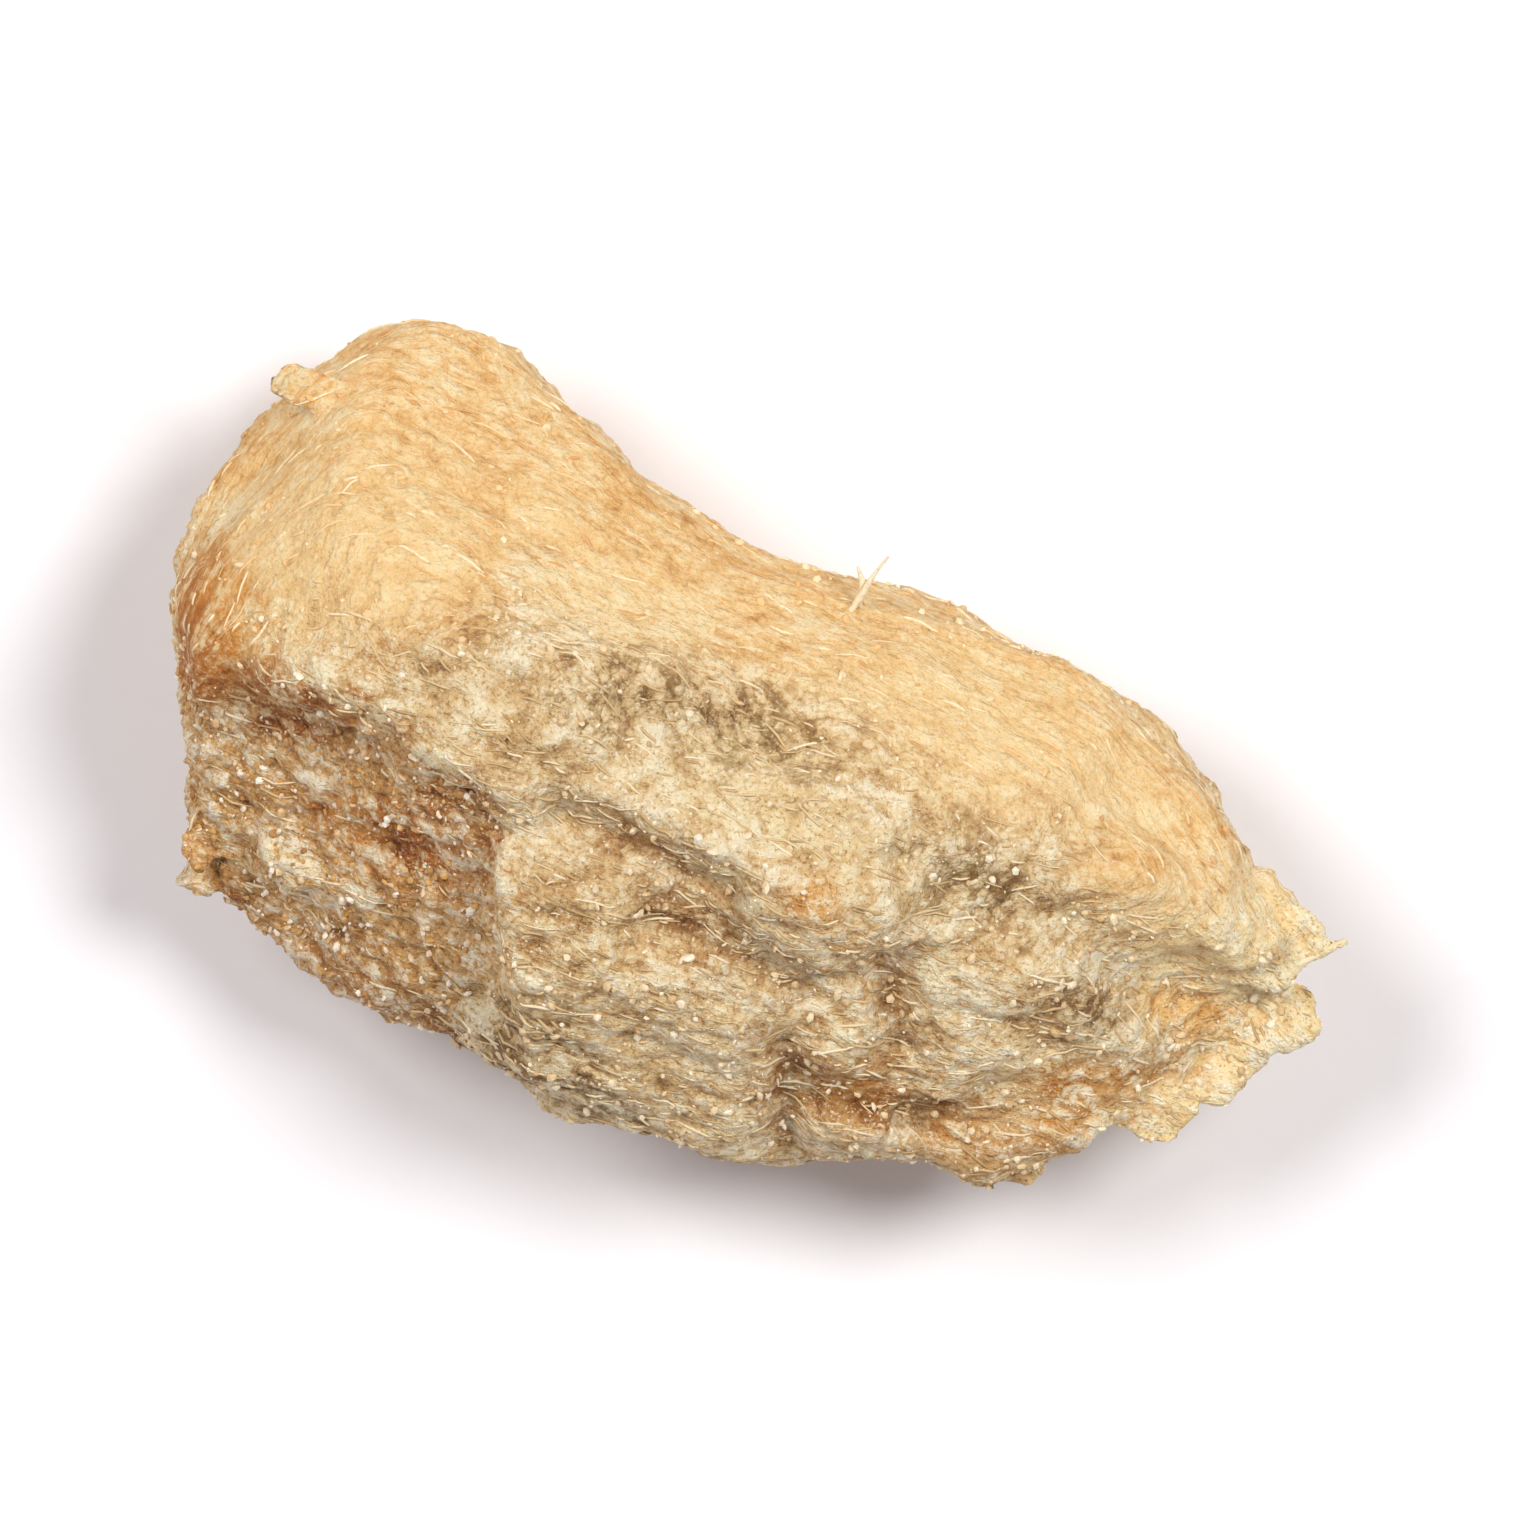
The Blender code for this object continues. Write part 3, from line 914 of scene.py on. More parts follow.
@dataclass
class RootSurface:
    """The whole surface of the chip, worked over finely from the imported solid. Sizes in mm.

    A strand size is its length along the grain and its width across it. A border is the half
    width over which a tissue or stain fades in.
    """

    name: str = "ginger_surface"
    seed: int = 3
    weld: float = 0.001
    voxel: float = 0.043
    rounding: float = 0.5
    rounding_passes: int = 7
    side_tilt: float = 0.3
    side_roughness: float = 0.45
    far_outside: float = -9.0
    strand_size: Pair = (1.0, 0.20)
    strand_loss_on_cut: float = 0.6
    smooth_strand_size: Pair = (1.3, 0.12)
    granule_middle: float = 0.45
    granule_share: float = 0.6
    granule_gain_on_cut: float = 0.5
    lump_scale: float = 2.2
    pale_rise: float = 0.03
    pale_reach: float = 0.12
    wander_scale: float = 2.0
    pale_wander: float = 0.12
    border: float = 0.20
    smooth_border: float = 0.42
    pale_border: float = 0.05
    patches: tuple[Patch, ...] = (
        Patch(Tissue.SMOOTH, (-2.75, 2.35), (1.80, 1.35), 12.0),
        Patch(Tissue.SMOOTH, (-0.60, 1.65), (2.60, 0.75), -24.0),
        Patch(Tissue.SMOOTH, (2.05, 0.42), (1.90, 0.72), -27.0),
        Patch(Tissue.SMOOTH, (3.20, -0.60), (0.70, 0.60), -50.0),
        Patch(Tissue.SMOOTH, (-4.15, 1.10), (0.50, 0.60), 0.0),
        Patch(Tissue.CUT, (-3.10, -0.95), (1.35, 1.30), -24.0),
        Patch(Tissue.CUT, (-4.20, -0.20), (0.60, 1.00), 0.0),
        Patch(Tissue.TIP, (3.70, -1.70), (0.95, 0.85), -35.0),
        Patch(Tissue.TIP, (2.60, -2.75), (1.20, 0.55), 18.0),
        Patch(Stain.CREAM, (1.80, 0.20), (1.50, 0.50), -27.0),
        Patch(Stain.CREAM, (-2.95, 1.60), (1.00, 0.55), 20.0),
        Patch(Stain.CREAM, (-1.10, 1.35), (0.80, 0.35), -32.0),
        Patch(Stain.HONEY, (-4.15, 1.00), (0.48, 0.60), 10.0),
        Patch(Stain.HONEY, (-2.80, -0.60), (0.62, 0.26), -20.0),
        Patch(Stain.HONEY, (0.60, -1.15), (0.34, 0.14), -60.0),
        Patch(Stain.HONEY, (1.00, -2.70), (0.60, 0.16), -18.0),
        Patch(Stain.HONEY, (3.25, -2.00), (0.34, 0.13), -20.0),
        Patch(Stain.HONEY, (-3.60, 0.40), (0.60, 0.22), -14.0),
        Patch(Stain.HONEY, (2.60, -2.62), (0.50, 0.20), 25.0),
        # Partly the tip's own pale colour, partly painted light: this cream patch lightens the tip
        # where it tilts away from the lamps.
        Patch(Stain.CREAM, (3.55, -1.50), (0.60, 0.35), -30.0),
        Patch(Stain.DARK, (-4.25, 0.95), (0.28, 0.45), 0.0),
        Patch(Stain.DARK, (2.60, -2.55), (0.80, 0.22), 25.0),
        Patch(Stain.DARK, (1.90, -3.00), (0.85, 0.30), 10.0),
        Patch(Stain.DARK, (-3.60, 0.42), (0.75, 0.28), -14.0),
        Patch(Stain.DARK, (-2.30, -0.55), (0.40, 0.45), -50.0),
        Patch(Stain.DARK, (-2.90, -1.90), (1.25, 0.28), -32.0),
        Patch(Stain.DARK, (-0.20, -1.30), (0.75, 0.22), -33.0),
        Patch(Stain.DARK, (-0.60, -0.72), (0.70, 0.16), -25.0),
        Patch(Stain.DARK, (1.16, -1.92), (0.16, 0.34), -8.0),
        Patch(Stain.DARK, (0.30, -2.65), (0.25, 0.45), 0.0),
        Patch(Stain.DARK, (1.65, -2.78), (0.80, 0.24), 4.0),
        Patch(Stain.CREAM, (0.30, -0.25), (1.00, 0.30), -26.0),
        Patch(Stain.GREY, (-0.40, 0.42), (1.20, 0.34), -16.0),
        Patch(Stain.GREY, (1.85, -0.95), (0.66, 0.30), -32.0),
        Patch(Stain.GREY, (-1.60, -2.30), (0.80, 0.35), -30.0),
        Patch(Stain.GREY, (2.55, -1.95), (0.40, 0.25), -20.0),
        Patch(Stain.PALE, (-3.60, -0.88), (0.26, 0.21), -25.0),
        Patch(Stain.PALE, (-2.65, 0.30), (0.95, 0.13), -33.0),
        Patch(Stain.PALE, (-1.85, -1.00), (0.08, 0.45), -2.0),
        Patch(Stain.PALE, (-3.50, 2.86), (0.36, 0.26), -20.0),
        Patch(Stain.PALE, (0.10, -0.45), (1.05, 0.13), -24.0),
        Patch(Stain.PALE, (0.10, -1.05), (0.75, 0.10), -36.0),
        Patch(Stain.PALE, (1.45, -1.70), (0.16, 0.40), -6.0),
    )
    # A furrow's strength sets both how deep it is cut and how dark it is painted as shade.
    strokes: tuple[Stroke, ...] = (
        Stroke(Mark.FURROW, ((-1.45, -0.40), (-0.85, -0.66), (-0.25, -0.90)), 0.11, 0.3),
        Stroke(Mark.FURROW, ((-0.70, -1.20), (-0.10, -1.42), (0.50, -1.78)), 0.13, 0.6),
        Stroke(Mark.FURROW, ((-4.05, 0.42), (-3.40, 0.26), (-2.80, 0.10)), 0.12, 0.5),
        Stroke(Mark.FURROW, ((0.30, -2.16), (0.28, -2.60), (0.24, -3.05)), 0.12, 0.7),
        Stroke(Mark.FURROW, ((0.46, -2.62), (0.90, -2.74), (1.30, -2.82)), 0.11, 0.9),
        Stroke(Mark.FURROW, ((-0.90, 0.42), (-0.40, 0.36), (0.10, 0.24)), 0.14, 0.5),
        Stroke(Mark.FURROW, ((1.04, -1.62), (1.08, -1.92), (1.16, -2.20)), 0.09, 0.8),
        Stroke(Mark.FURROW, ((-3.95, 2.05), (-3.30, 2.42), (-2.60, 2.55), (-2.00, 2.30)), 0.05, 0.35),
        Stroke(Mark.FURROW, ((-3.90, 1.70), (-3.20, 2.05), (-2.50, 2.12), (-1.80, 1.85)), 0.05, 0.30),
        Stroke(Mark.RIDGE, ((-3.30, 0.72), (-2.50, 0.34), (-1.90, -0.10), (-1.60, -0.28)), 0.10),
        Stroke(Mark.RIDGE, ((-1.20, -0.14), (-0.20, -0.58), (0.60, -1.06)), 0.12),
        Stroke(Mark.RIDGE, ((-0.60, -0.92), (0.00, -1.10), (0.55, -1.48)), 0.09),
        Stroke(Mark.RIDGE, ((-1.86, -0.60), (-1.80, -1.30), (-1.66, -2.20)), 0.09),
        Stroke(Mark.RIDGE, ((1.05, -3.02), (1.70, -3.06), (2.50, -2.88)), 0.12),
        Stroke(Mark.RIDGE, ((1.30, -1.55), (1.45, -1.90), (1.55, -2.20)), 0.08, 0.7),
    )
    relief_sizes: dict[str, float] = field(
        default_factory=lambda: {
            "Border Wander": 1.1,
            "Strand Rise": 0.15,
            "Granule Size": 0.16,
            "Granule Rise": 0.085,
            "Lump Rise": 0.20,
            "Smooth Rise": 0.05,
            "Furrow Depth": 0.09,
            "Ridge Rise": 0.045,
        }
    )

    def fine_mesh(self) -> bpy.types.Mesh:
        """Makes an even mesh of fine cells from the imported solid, its facets rounded off.

        Returns:
            The mesh, in mm.
        """
        shell = bmesh.new()
        shell.from_mesh(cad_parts[NODE].data)
        bmesh.ops.remove_doubles(shell, verts=shell.verts[:], dist=self.weld * MM)
        bmesh.ops.scale(shell, vec=(1 / MM,) * 3, verts=shell.verts[:])
        mesh = bpy.data.meshes.new("fine_shell")
        shell.to_mesh(mesh)
        shell.free()
        carrier = bpy.data.objects.new("fine_shell", mesh)
        bpy.context.scene.collection.objects.link(carrier)
        cells = carrier.modifiers.new("even_cells", "REMESH")
        cells.mode = "VOXEL"
        cells.voxel_size = self.voxel
        cells.use_smooth_shade = True
        rounded = carrier.modifiers.new("rounded_facets", "SMOOTH")
        rounded.factor = self.rounding
        rounded.iterations = self.rounding_passes
        fine = plain_mesh(carrier, "fine_cells")
        bpy.data.objects.remove(carrier)
        self.drop_specks(fine)
        return fine

    def drop_specks(self, mesh: bpy.types.Mesh) -> None:
        """Takes out the loose specks that a thin fibre leaves between the cells.

        Args:
            mesh: The mesh, which keeps only its largest part.
        """
        shell = bmesh.new()
        shell.from_mesh(mesh)
        left = set(shell.verts)
        islands = []
        while left:
            edge = [left.pop()]
            island = list(edge)
            while edge:
                near = {link.other_vert(vert) for vert in edge for link in vert.link_edges} & left
                left -= near
                edge = list(near)
                island += edge
            islands.append(island)
        islands.sort(key=len)
        specks = [vert for island in islands[:-1] for vert in island]
        bmesh.ops.delete(shell, geom=specks, context="VERTS")
        shell.to_mesh(mesh)
        shell.free()

    def margin(self, patch: Patch, places: np.ndarray) -> np.ndarray:
        """Measures how far places lie inside a patch.

        Args:
            patch: The patch.
            places: Places in mm, one row each.

        Returns:
            The depth of each place in mm; negative outside the patch.
        """
        turn = math.radians(patch.turn)
        off = places[:, :2] - np.array(patch.centre)
        along = off[:, 0] * math.cos(turn) + off[:, 1] * math.sin(turn)
        aside = off[:, 1] * math.cos(turn) - off[:, 0] * math.sin(turn)
        reach = np.hypot(along / patch.radii[0], aside / patch.radii[1])
        return (1 - reach) * min(patch.radii)

    def closeness(self, stroke: Stroke, places: np.ndarray) -> np.ndarray:
        """Measures how near places lie to a stroke's path.

        Args:
            stroke: The stroke.
            places: Places in mm, one row each.

        Returns:
            The stroke's strength on its path, falling off with its width.
        """
        nearest = np.full(len(places), np.inf)
        for start, end in zip(stroke.path, stroke.path[1:]):
            start_at = np.array(start)
            along = np.array(end) - start_at
            share = np.clip((places[:, :2] - start_at) @ along / (along @ along), 0, 1)
            foot = start_at + share[:, None] * along
            nearest = np.minimum(nearest, np.hypot(*(places[:, :2] - foot).T))
        return stroke.strength * np.exp(-((nearest / stroke.half_width) ** 2))

    def grain_lines(self, places: np.ndarray) -> tuple[np.ndarray, np.ndarray]:
        """Finds how the grain runs: along the crest near it, and straight further down.

        Args:
            places: Places in mm, one row each.

        Returns:
            The places with X along, Y across and Z above the grain, and the grain's direction.
        """
        x, y, z = places.T
        nodes, heights = np.array(CREST).T
        eases = np.linspace(-CREST_EASE, CREST_EASE, CREST_SAMPLES)
        crest = np.mean([np.interp(x + ease, nodes, heights) for ease in eases], axis=0)
        further = np.mean([np.interp(x + ease + CREST_STEP, nodes, heights) for ease in eases], axis=0)
        share = np.clip(1 - (crest - y) / CREST_REACH, 0, 1)
        share = share * share * (3 - 2 * share)
        across = y - share * crest - (1 - share) * GRAIN_SLOPE * x
        slope = share * (further - crest) / CREST_STEP + (1 - share) * GRAIN_SLOPE
        length = np.hypot(1, slope)
        turned = np.stack((x + GRAIN_SLOPE * y, across, z), axis=1)
        return turned, np.stack((1 / length, slope / length, 0 * x), axis=1)

    def map_tissues(self, mesh: bpy.types.Mesh) -> None:
        """Writes the grain, each tissue's and stain's reach, and the nearness of each mark.

        Args:
            mesh: The fine mesh in mm, which gets them as attributes.
        """
        places = np.empty(len(mesh.vertices) * 3, np.float32)
        mesh.vertices.foreach_get("co", places)
        places = places.reshape(-1, 3) - PLAN_OFFSET
        facing = np.empty(len(mesh.vertices) * 3, np.float32)
        mesh.vertices.foreach_get("normal", facing)
        upward = np.clip(facing.reshape(-1, 3)[:, 2] / self.side_tilt, 0, 1)
        values = {kind.value: np.full(len(places), self.far_outside) for kind in (*Tissue, *Stain)}
        values.update({mark.value: np.zeros(len(places)) for mark in Mark})
        for patch in self.patches:
            name = patch.kind.value
            margin = self.margin(patch, places)
            if patch.kind is Tissue.SMOOTH:
                margin -= self.side_roughness * (1 - upward)
            elif isinstance(patch.kind, Stain):
                margin = np.where(upward > 0, margin, self.far_outside)
            values[name] = np.maximum(values[name], margin)
        for stroke in self.strokes:
            name = stroke.mark.value
            values[name] = np.maximum(values[name], upward * self.closeness(stroke, places))
        for name, value in values.items():
            target = mesh.attributes.new(name, "FLOAT", "POINT").data
            target.foreach_set("value", value.astype(np.float32))
        for name, rows in zip((GRAIN_PLACE, GRAIN_RUN), self.grain_lines(places)):
            target = mesh.attributes.new(name, "FLOAT_VECTOR", "POINT").data
            target.foreach_set("vector", rows.astype(np.float32).ravel())

    def flesh_relief(self, tree: Growth, smooth: Socket, cut: Socket) -> Socket:
        """The strands, granules and lumps of the tissues.

        Args:
            tree: The tree that the nodes go into.
            smooth: How much smooth skin a point has.
            cut: How much broken cut a point has.

        Returns:
            The height in mm.
        """
        size = tree.inputs
        place = tree.place()
        grain = tree.named(GRAIN_PLACE, "FLOAT_VECTOR")
        strand = tree.noise(tree.streaks(grain, *self.strand_size), 1.0)
        strand = tree.level(strand, size["Strand Rise"])
        cells = tree.cells(place, tree.math("DIVIDE", 1.0, size["Granule Size"]))
        granule = tree.math("SUBTRACT", self.granule_middle, cells.outputs["Distance"])
        granule = tree.math("MULTIPLY", granule, size["Granule Rise"])
        lump = tree.level(tree.noise(place, self.lump_scale), size["Lump Rise"])
        share = tree.math("MULTIPLY_ADD", cut, self.granule_gain_on_cut, self.granule_share)
        height = tree.math("MULTIPLY", granule, share)
        share = tree.less(cut, self.strand_loss_on_cut)
        height = tree.math("MULTIPLY_ADD", strand, share, height)
        height = tree.math("MULTIPLY", tree.math("ADD", height, lump), tree.less(smooth, 1.0))
        fine = tree.noise(tree.streaks(grain, *self.smooth_strand_size), 1.0, rough=0.6)
        return tree.math("MULTIPLY_ADD", tree.level(fine, size["Smooth Rise"]), smooth, height)

    def marked_relief(self, tree: Growth, height: Socket) -> Socket:
        """Cuts the furrows into a height and raises the ridges and the pale grains on it.

        Args:
            tree: The tree that the nodes go into.
            height: The height before, in mm.

        Returns:
            The height in mm.
        """
        furrow = tree.math("MULTIPLY", tree.named(Mark.FURROW.value), tree.inputs["Furrow Depth"])
        height = tree.math("SUBTRACT", height, furrow)
        ridge = tree.named(Mark.RIDGE.value)
        height = tree.math("MULTIPLY_ADD", ridge, tree.inputs["Ridge Rise"], height)
        pale = tree.remap(tree.named(Stain.PALE.value), 0.0, self.pale_reach)
        return tree.math("MULTIPLY_ADD", pale, self.pale_rise, height)

    def share_of(self, tree: Growth, kind: Tissue | Stain, wander: Socket) -> Socket:
        """Settles the border of a tissue or stain.

        Args:
            tree: The tree that the nodes go into.
            kind: The tissue or stain.
            wander: How far borders stray at each point, in mm.

        Returns:
            How much of it a point has, from zero outside its border to one inside.
        """
        stray, border = 1.0, self.border
        if kind is Tissue.SMOOTH:
            border = self.smooth_border
        elif kind is Stain.PALE:
            stray, border = self.pale_wander, self.pale_border
        depth = tree.math("MULTIPLY_ADD", wander, stray, tree.named(kind.value))
        return tree.remap(depth, -border, border)

    def relief_tree(self) -> Growth:
        """Builds the tree that settles the tissues' borders and raises the fine relief of each.

        Returns:
            The tree.
        """
        tree = Growth("skin_relief", self.relief_sizes)
        place = tree.place()
        wander = tree.noise(place, self.wander_scale, detail=4.0, rough=0.65)
        wander = tree.level(wander, tree.inputs["Border Wander"])
        shares = {kind: self.share_of(tree, kind, wander) for kind in (*Tissue, *Stain)}
        flesh = self.flesh_relief(tree, shares[Tissue.SMOOTH], shares[Tissue.CUT])
        geometry = tree.store(tree.inputs["Geometry"], RELIEF, self.marked_relief(tree, flesh))
        for kind, share in shares.items():
            geometry = tree.store(geometry, kind.value, share)
        rise = tree.vector("MULTIPLY", tree.normal(), tree.even(tree.named(RELIEF)))
        moved = tree.vector("ADD", place, rise)
        grounded = tree.math("MAXIMUM", tree.part(moved, 2), 0.0)
        moved = tree.join(tree.part(moved, 0), tree.part(moved, 1), grounded)
        placed = tree.add("GeometryNodeSetPosition", {"Geometry": geometry, "Position": moved})
        tree.close(placed.outputs[0])
        return tree

    def build(self) -> bpy.types.Mesh:
        """Makes the surface.

        Returns:
            The dressed mesh, in mm.
        """
        fine = self.fine_mesh()
        self.map_tissues(fine)
        flesh = FleshFinish().material()
        mesh = self.relief_tree().grow_on(fine, self.name, self.seed, flesh)
        mesh.shade_smooth()
        return mesh


@dataclass
class StarchGrains:
    """Grains of dried starch that cling to the surface. Sizes in mm, density per square mm."""

    name: str = "starch_grains"
    seed: int = 11
    sizes: dict[str, float] = field(
        default_factory=lambda: {
            "Density": 62.0,
            "Smallest": 0.012,
            "Largest": 0.042,
        }
    )
    smooth_loss: float = 0.85
    cut_gain: float = 1.2
    clump_scale: float = 2.4
    clump_fade: Fade = (0.42, 0.62, 0.4, 1.5)
    flatness: Pair = (0.45, 1.0)
    slimness: Pair = (0.8, 1.6)

    def density(self, tree: Growth) -> Socket:
        """How thickly the grains lie: in clumps, most on the broken cut, least on smooth skin.

        Args:
            tree: The tree that the nodes go into.

        Returns:
            The number of grains on a square mm.
        """
        rough = tree.less(tree.named(Tissue.SMOOTH.value), self.smooth_loss)
        more = tree.math("MULTIPLY_ADD", tree.named(Tissue.CUT.value), self.cut_gain, 1.0)
        clump = tree.remap(tree.noise(tree.place(), self.clump_scale), *self.clump_fade)
        share = tree.math("MULTIPLY", tree.math("MULTIPLY", rough, more), clump)
        return tree.math("MULTIPLY", share, tree.inputs["Density"])

    def shape(self, tree: Growth) -> Socket:
        """How large the grains are: most of them small, each of its own proportions.

        Args:
            tree: The tree that the nodes go into.

        Returns:
            Each grain's three radii, in mm.
        """
        size = tree.inputs
        skew = tree.random(0.0, 1.0, 1)
        spread = tree.math("MULTIPLY", skew, tree.math("MULTIPLY", skew, skew))
        reach = tree.math("SUBTRACT", size["Largest"], size["Smallest"])
        radius = tree.math("MULTIPLY_ADD", spread, reach, size["Smallest"])
        flat = tree.math("MULTIPLY", radius, tree.random(*self.flatness, 2))
        long = tree.math("MULTIPLY", radius, tree.random(*self.slimness, 3))
        return tree.join(radius, flat, long)

    def tree(self) -> Growth:
        """Builds the tree that scatters the grains over the surface.

        Returns:
            The tree.
        """
        tree = Growth(self.name, self.sizes)
        points = tree.scatter(self.density(tree))
        grain = tree.add("GeometryNodeMeshIcoSphere", {"Radius": 1.0, "Subdivisions": 1})
        turn = tree.add("FunctionNodeRandomValue", {1: (math.tau,) * 3}, data_type="FLOAT_VECTOR")
        placed = tree.add(
            "GeometryNodeInstanceOnPoints",
            {
                "Points": points.outputs[0],
                "Instance": grain.outputs[0],
                "Rotation": turn.outputs[0],
                "Scale": self.shape(tree),
            },
        )
        tree.close(tree.store(placed.outputs[0], TONE, tree.random(0.0, 1.0, 4), "INSTANCE"))
        return tree

    def build(self, surface: bpy.types.Mesh, material: bpy.types.Material) -> bpy.types.Mesh:
        """Grows the grains on a surface.

        Args:
            surface: The finished surface, in mm.
            material: What the grains wear.

        Returns:
            All the grains as one mesh, in mm.
        """
        return self.tree().grow_on(surface, self.name, self.seed, material)


@dataclass
class SurfaceFibres:
    """Fine strands that lie along the grain, half sunk in the surface.

    Sizes are in mm, the density is per square mm and the angle is in radians. The lift and the
    thickness of a strand are shares of its radius.
    """

    name: str = "surface_fibres"
    seed: int = 23
    sizes: dict[str, float] = field(
        default_factory=lambda: {
            "Density": 30.0,
            "Shortest": 0.10,
            "Longest": 0.42,
            "Radius": 0.011,
            "Bend": 0.05,
            "Scatter Angle": 0.45,
        }
    )
    smooth_loss: float = 0.55
    cut_loss: float = 0.5
    knots: int = 5
    corners: int = 4
    bend_scale: float = 2.2
    bend_gain: float = 4.0
    end_lift: float = -0.8
    middle_lift: float = 0.5
    end_thickness: float = 0.2
    thickness: Pair = (0.55, 1.3)

    def turns(self, tree: Growth, normal: Socket) -> Socket:
        """Turns the strands along the grain, each a little astray.

        Args:
            tree: The tree that the nodes go into.
            normal: The surface's normal under each strand.

        Returns:
            Each strand's rotation.
        """
        upright = tree.add("FunctionNodeAlignRotationToVector", {"Vector": normal}, axis="Z")
        along = tree.add(
            "FunctionNodeAlignRotationToVector",
            {"Rotation": upright.outputs[0], "Vector": tree.named(GRAIN_RUN, "FLOAT_VECTOR")},
            axis="X",
            pivot_axis="Z",
        )
        most = tree.inputs["Scatter Angle"]
        aside = tree.join(0.0, 0.0, tree.random(tree.math("MULTIPLY", most, -1.0), most, 1))
        turned = tree.add(
            "FunctionNodeRotateRotation", {0: along.outputs[0], 1: aside}, rotation_space="LOCAL"
        )
        return turned.outputs[0]

    def length(self, tree: Growth) -> Socket:
        """How long the strands are: most of them short.

        Args:
            tree: The tree that the nodes go into.

        Returns:
            Each strand's length in mm.
        """
        size = tree.inputs
        skew = tree.random(0.0, 1.0, 2)
        reach = tree.math("SUBTRACT", size["Longest"], size["Shortest"])
        return tree.math("MULTIPLY_ADD", tree.math("MULTIPLY", skew, skew), reach, size["Shortest"])

    def tree(self) -> Growth:
        """Builds the tree that lays short tapered strands down on the surface along its grain.

        Returns:
            The tree.
        """
        tree = Growth(self.name, self.sizes)
        rough = tree.less(tree.named(Tissue.SMOOTH.value), self.smooth_loss)
        whole = tree.less(tree.named(Tissue.CUT.value), self.cut_loss)
        share = tree.math("MULTIPLY", rough, whole)
        points = tree.scatter(tree.math("MULTIPLY", share, tree.inputs["Density"]))
        line = tree.add("GeometryNodeCurvePrimitiveLine", {"Start": (-0.5, 0, 0), "End": (0.5, 0, 0)})
        strand = tree.add("GeometryNodeResampleCurve", {"Curve": line.outputs[0], "Count": self.knots})
        strands = tree.add(
            "GeometryNodeInstanceOnPoints",
            {
                "Points": points.outputs[0],
                "Instance": strand.outputs[0],
                "Rotation": self.turns(tree, points.outputs["Normal"]),
                "Scale": tree.even(self.length(tree)),
            },
        )
        toned = tree.store(strands.outputs[0], TONE, tree.random(0.0, 1.0, 5), "INSTANCE")
        thick = tree.store(toned, THICKNESS, tree.random(*self.thickness, 6), "INSTANCE")
        real = tree.add("GeometryNodeRealizeInstances", {0: thick}).outputs[0]
        laid = self.lay_down(tree, self.bend(tree, real))
        tree.close(tree.tube(laid, self.radius(tree), self.corners))
        return tree

    def bend(self, tree: Growth, curves: Socket) -> Socket:
        """Wanders the strands a little, each its own way.

        Args:
            tree: The tree that the nodes go into.
            curves: The strands.

        Returns:
            The wandering strands.
        """
        wobble = tree.add(
            "ShaderNodeTexNoise", {"Vector": tree.place(), "Scale": self.bend_scale, "Detail": 2.0}
        )
        middle = tree.vector("SUBTRACT", wobble.outputs["Color"], (MIDDLE, MIDDLE, MIDDLE))
        amount = tree.even(tree.math("MULTIPLY", tree.inputs["Bend"], self.bend_gain))
        offset = tree.vector("MULTIPLY", middle, amount)
        return tree.add("GeometryNodeSetPosition", {"Geometry": curves, "Offset": offset}).outputs[0]

    def arch(self, tree: Growth) -> Socket:
        """Finds how near a point of a strand is to the strand's middle.

        Args:
            tree: The tree that the nodes go into.

        Returns:
            A value that rises from zero at the strand's ends to one at its middle.
        """
        along = tree.add("GeometryNodeSplineParameter").outputs["Factor"]
        left = tree.math("SUBTRACT", 1.0, along)
        return tree.math("MULTIPLY", tree.math("MULTIPLY", along, left), 4.0)

    def lay_down(self, tree: Growth, curves: Socket) -> Socket:
        """Lays every point of the strands down on the surface, sunk in it at the ends.

        Args:
            tree: The tree that the nodes go into.
            curves: The strands.

        Returns:
            The strands on the surface.
        """
        surface = tree.inputs["Geometry"]
        near = tree.add("GeometryNodeProximity", {0: surface}, target_element="FACES")
        sample = tree.add(
            "GeometryNodeSampleNearestSurface",
            {"Mesh": surface, "Value": tree.normal()},
            data_type="FLOAT_VECTOR",
        )
        rise = self.middle_lift - self.end_lift
        share = tree.math("MULTIPLY_ADD", self.arch(tree), rise, self.end_lift)
        lift = tree.even(tree.math("MULTIPLY", share, tree.inputs["Radius"]))
        offset = tree.vector("MULTIPLY", sample.outputs[0], lift)
        place = tree.vector("ADD", near.outputs["Position"], offset)
        return tree.add("GeometryNodeSetPosition", {"Geometry": curves, "Position": place}).outputs[0]

    def radius(self, tree: Growth) -> Socket:
        """How thick the strands are: rounded off towards their ends.

        Args:
            tree: The tree that the nodes go into.

        Returns:
            The radius at each point, in mm.
        """
        bulge = tree.math("POWER", self.arch(tree), 0.5)
        taper = tree.math("MULTIPLY_ADD", bulge, 1 - self.end_thickness, self.end_thickness)
        share = tree.math("MULTIPLY", taper, tree.named(THICKNESS))
        return tree.math("MULTIPLY", share, tree.inputs["Radius"])

    def build(self, surface: bpy.types.Mesh, material: bpy.types.Material) -> bpy.types.Mesh:
        """Grows the fibres on a surface.

        Args:
            surface: The finished surface, in mm.
            material: What the fibres wear.

        Returns:
            All the fibres as one mesh, in mm.
        """
        return self.tree().grow_on(surface, self.name, self.seed, material)


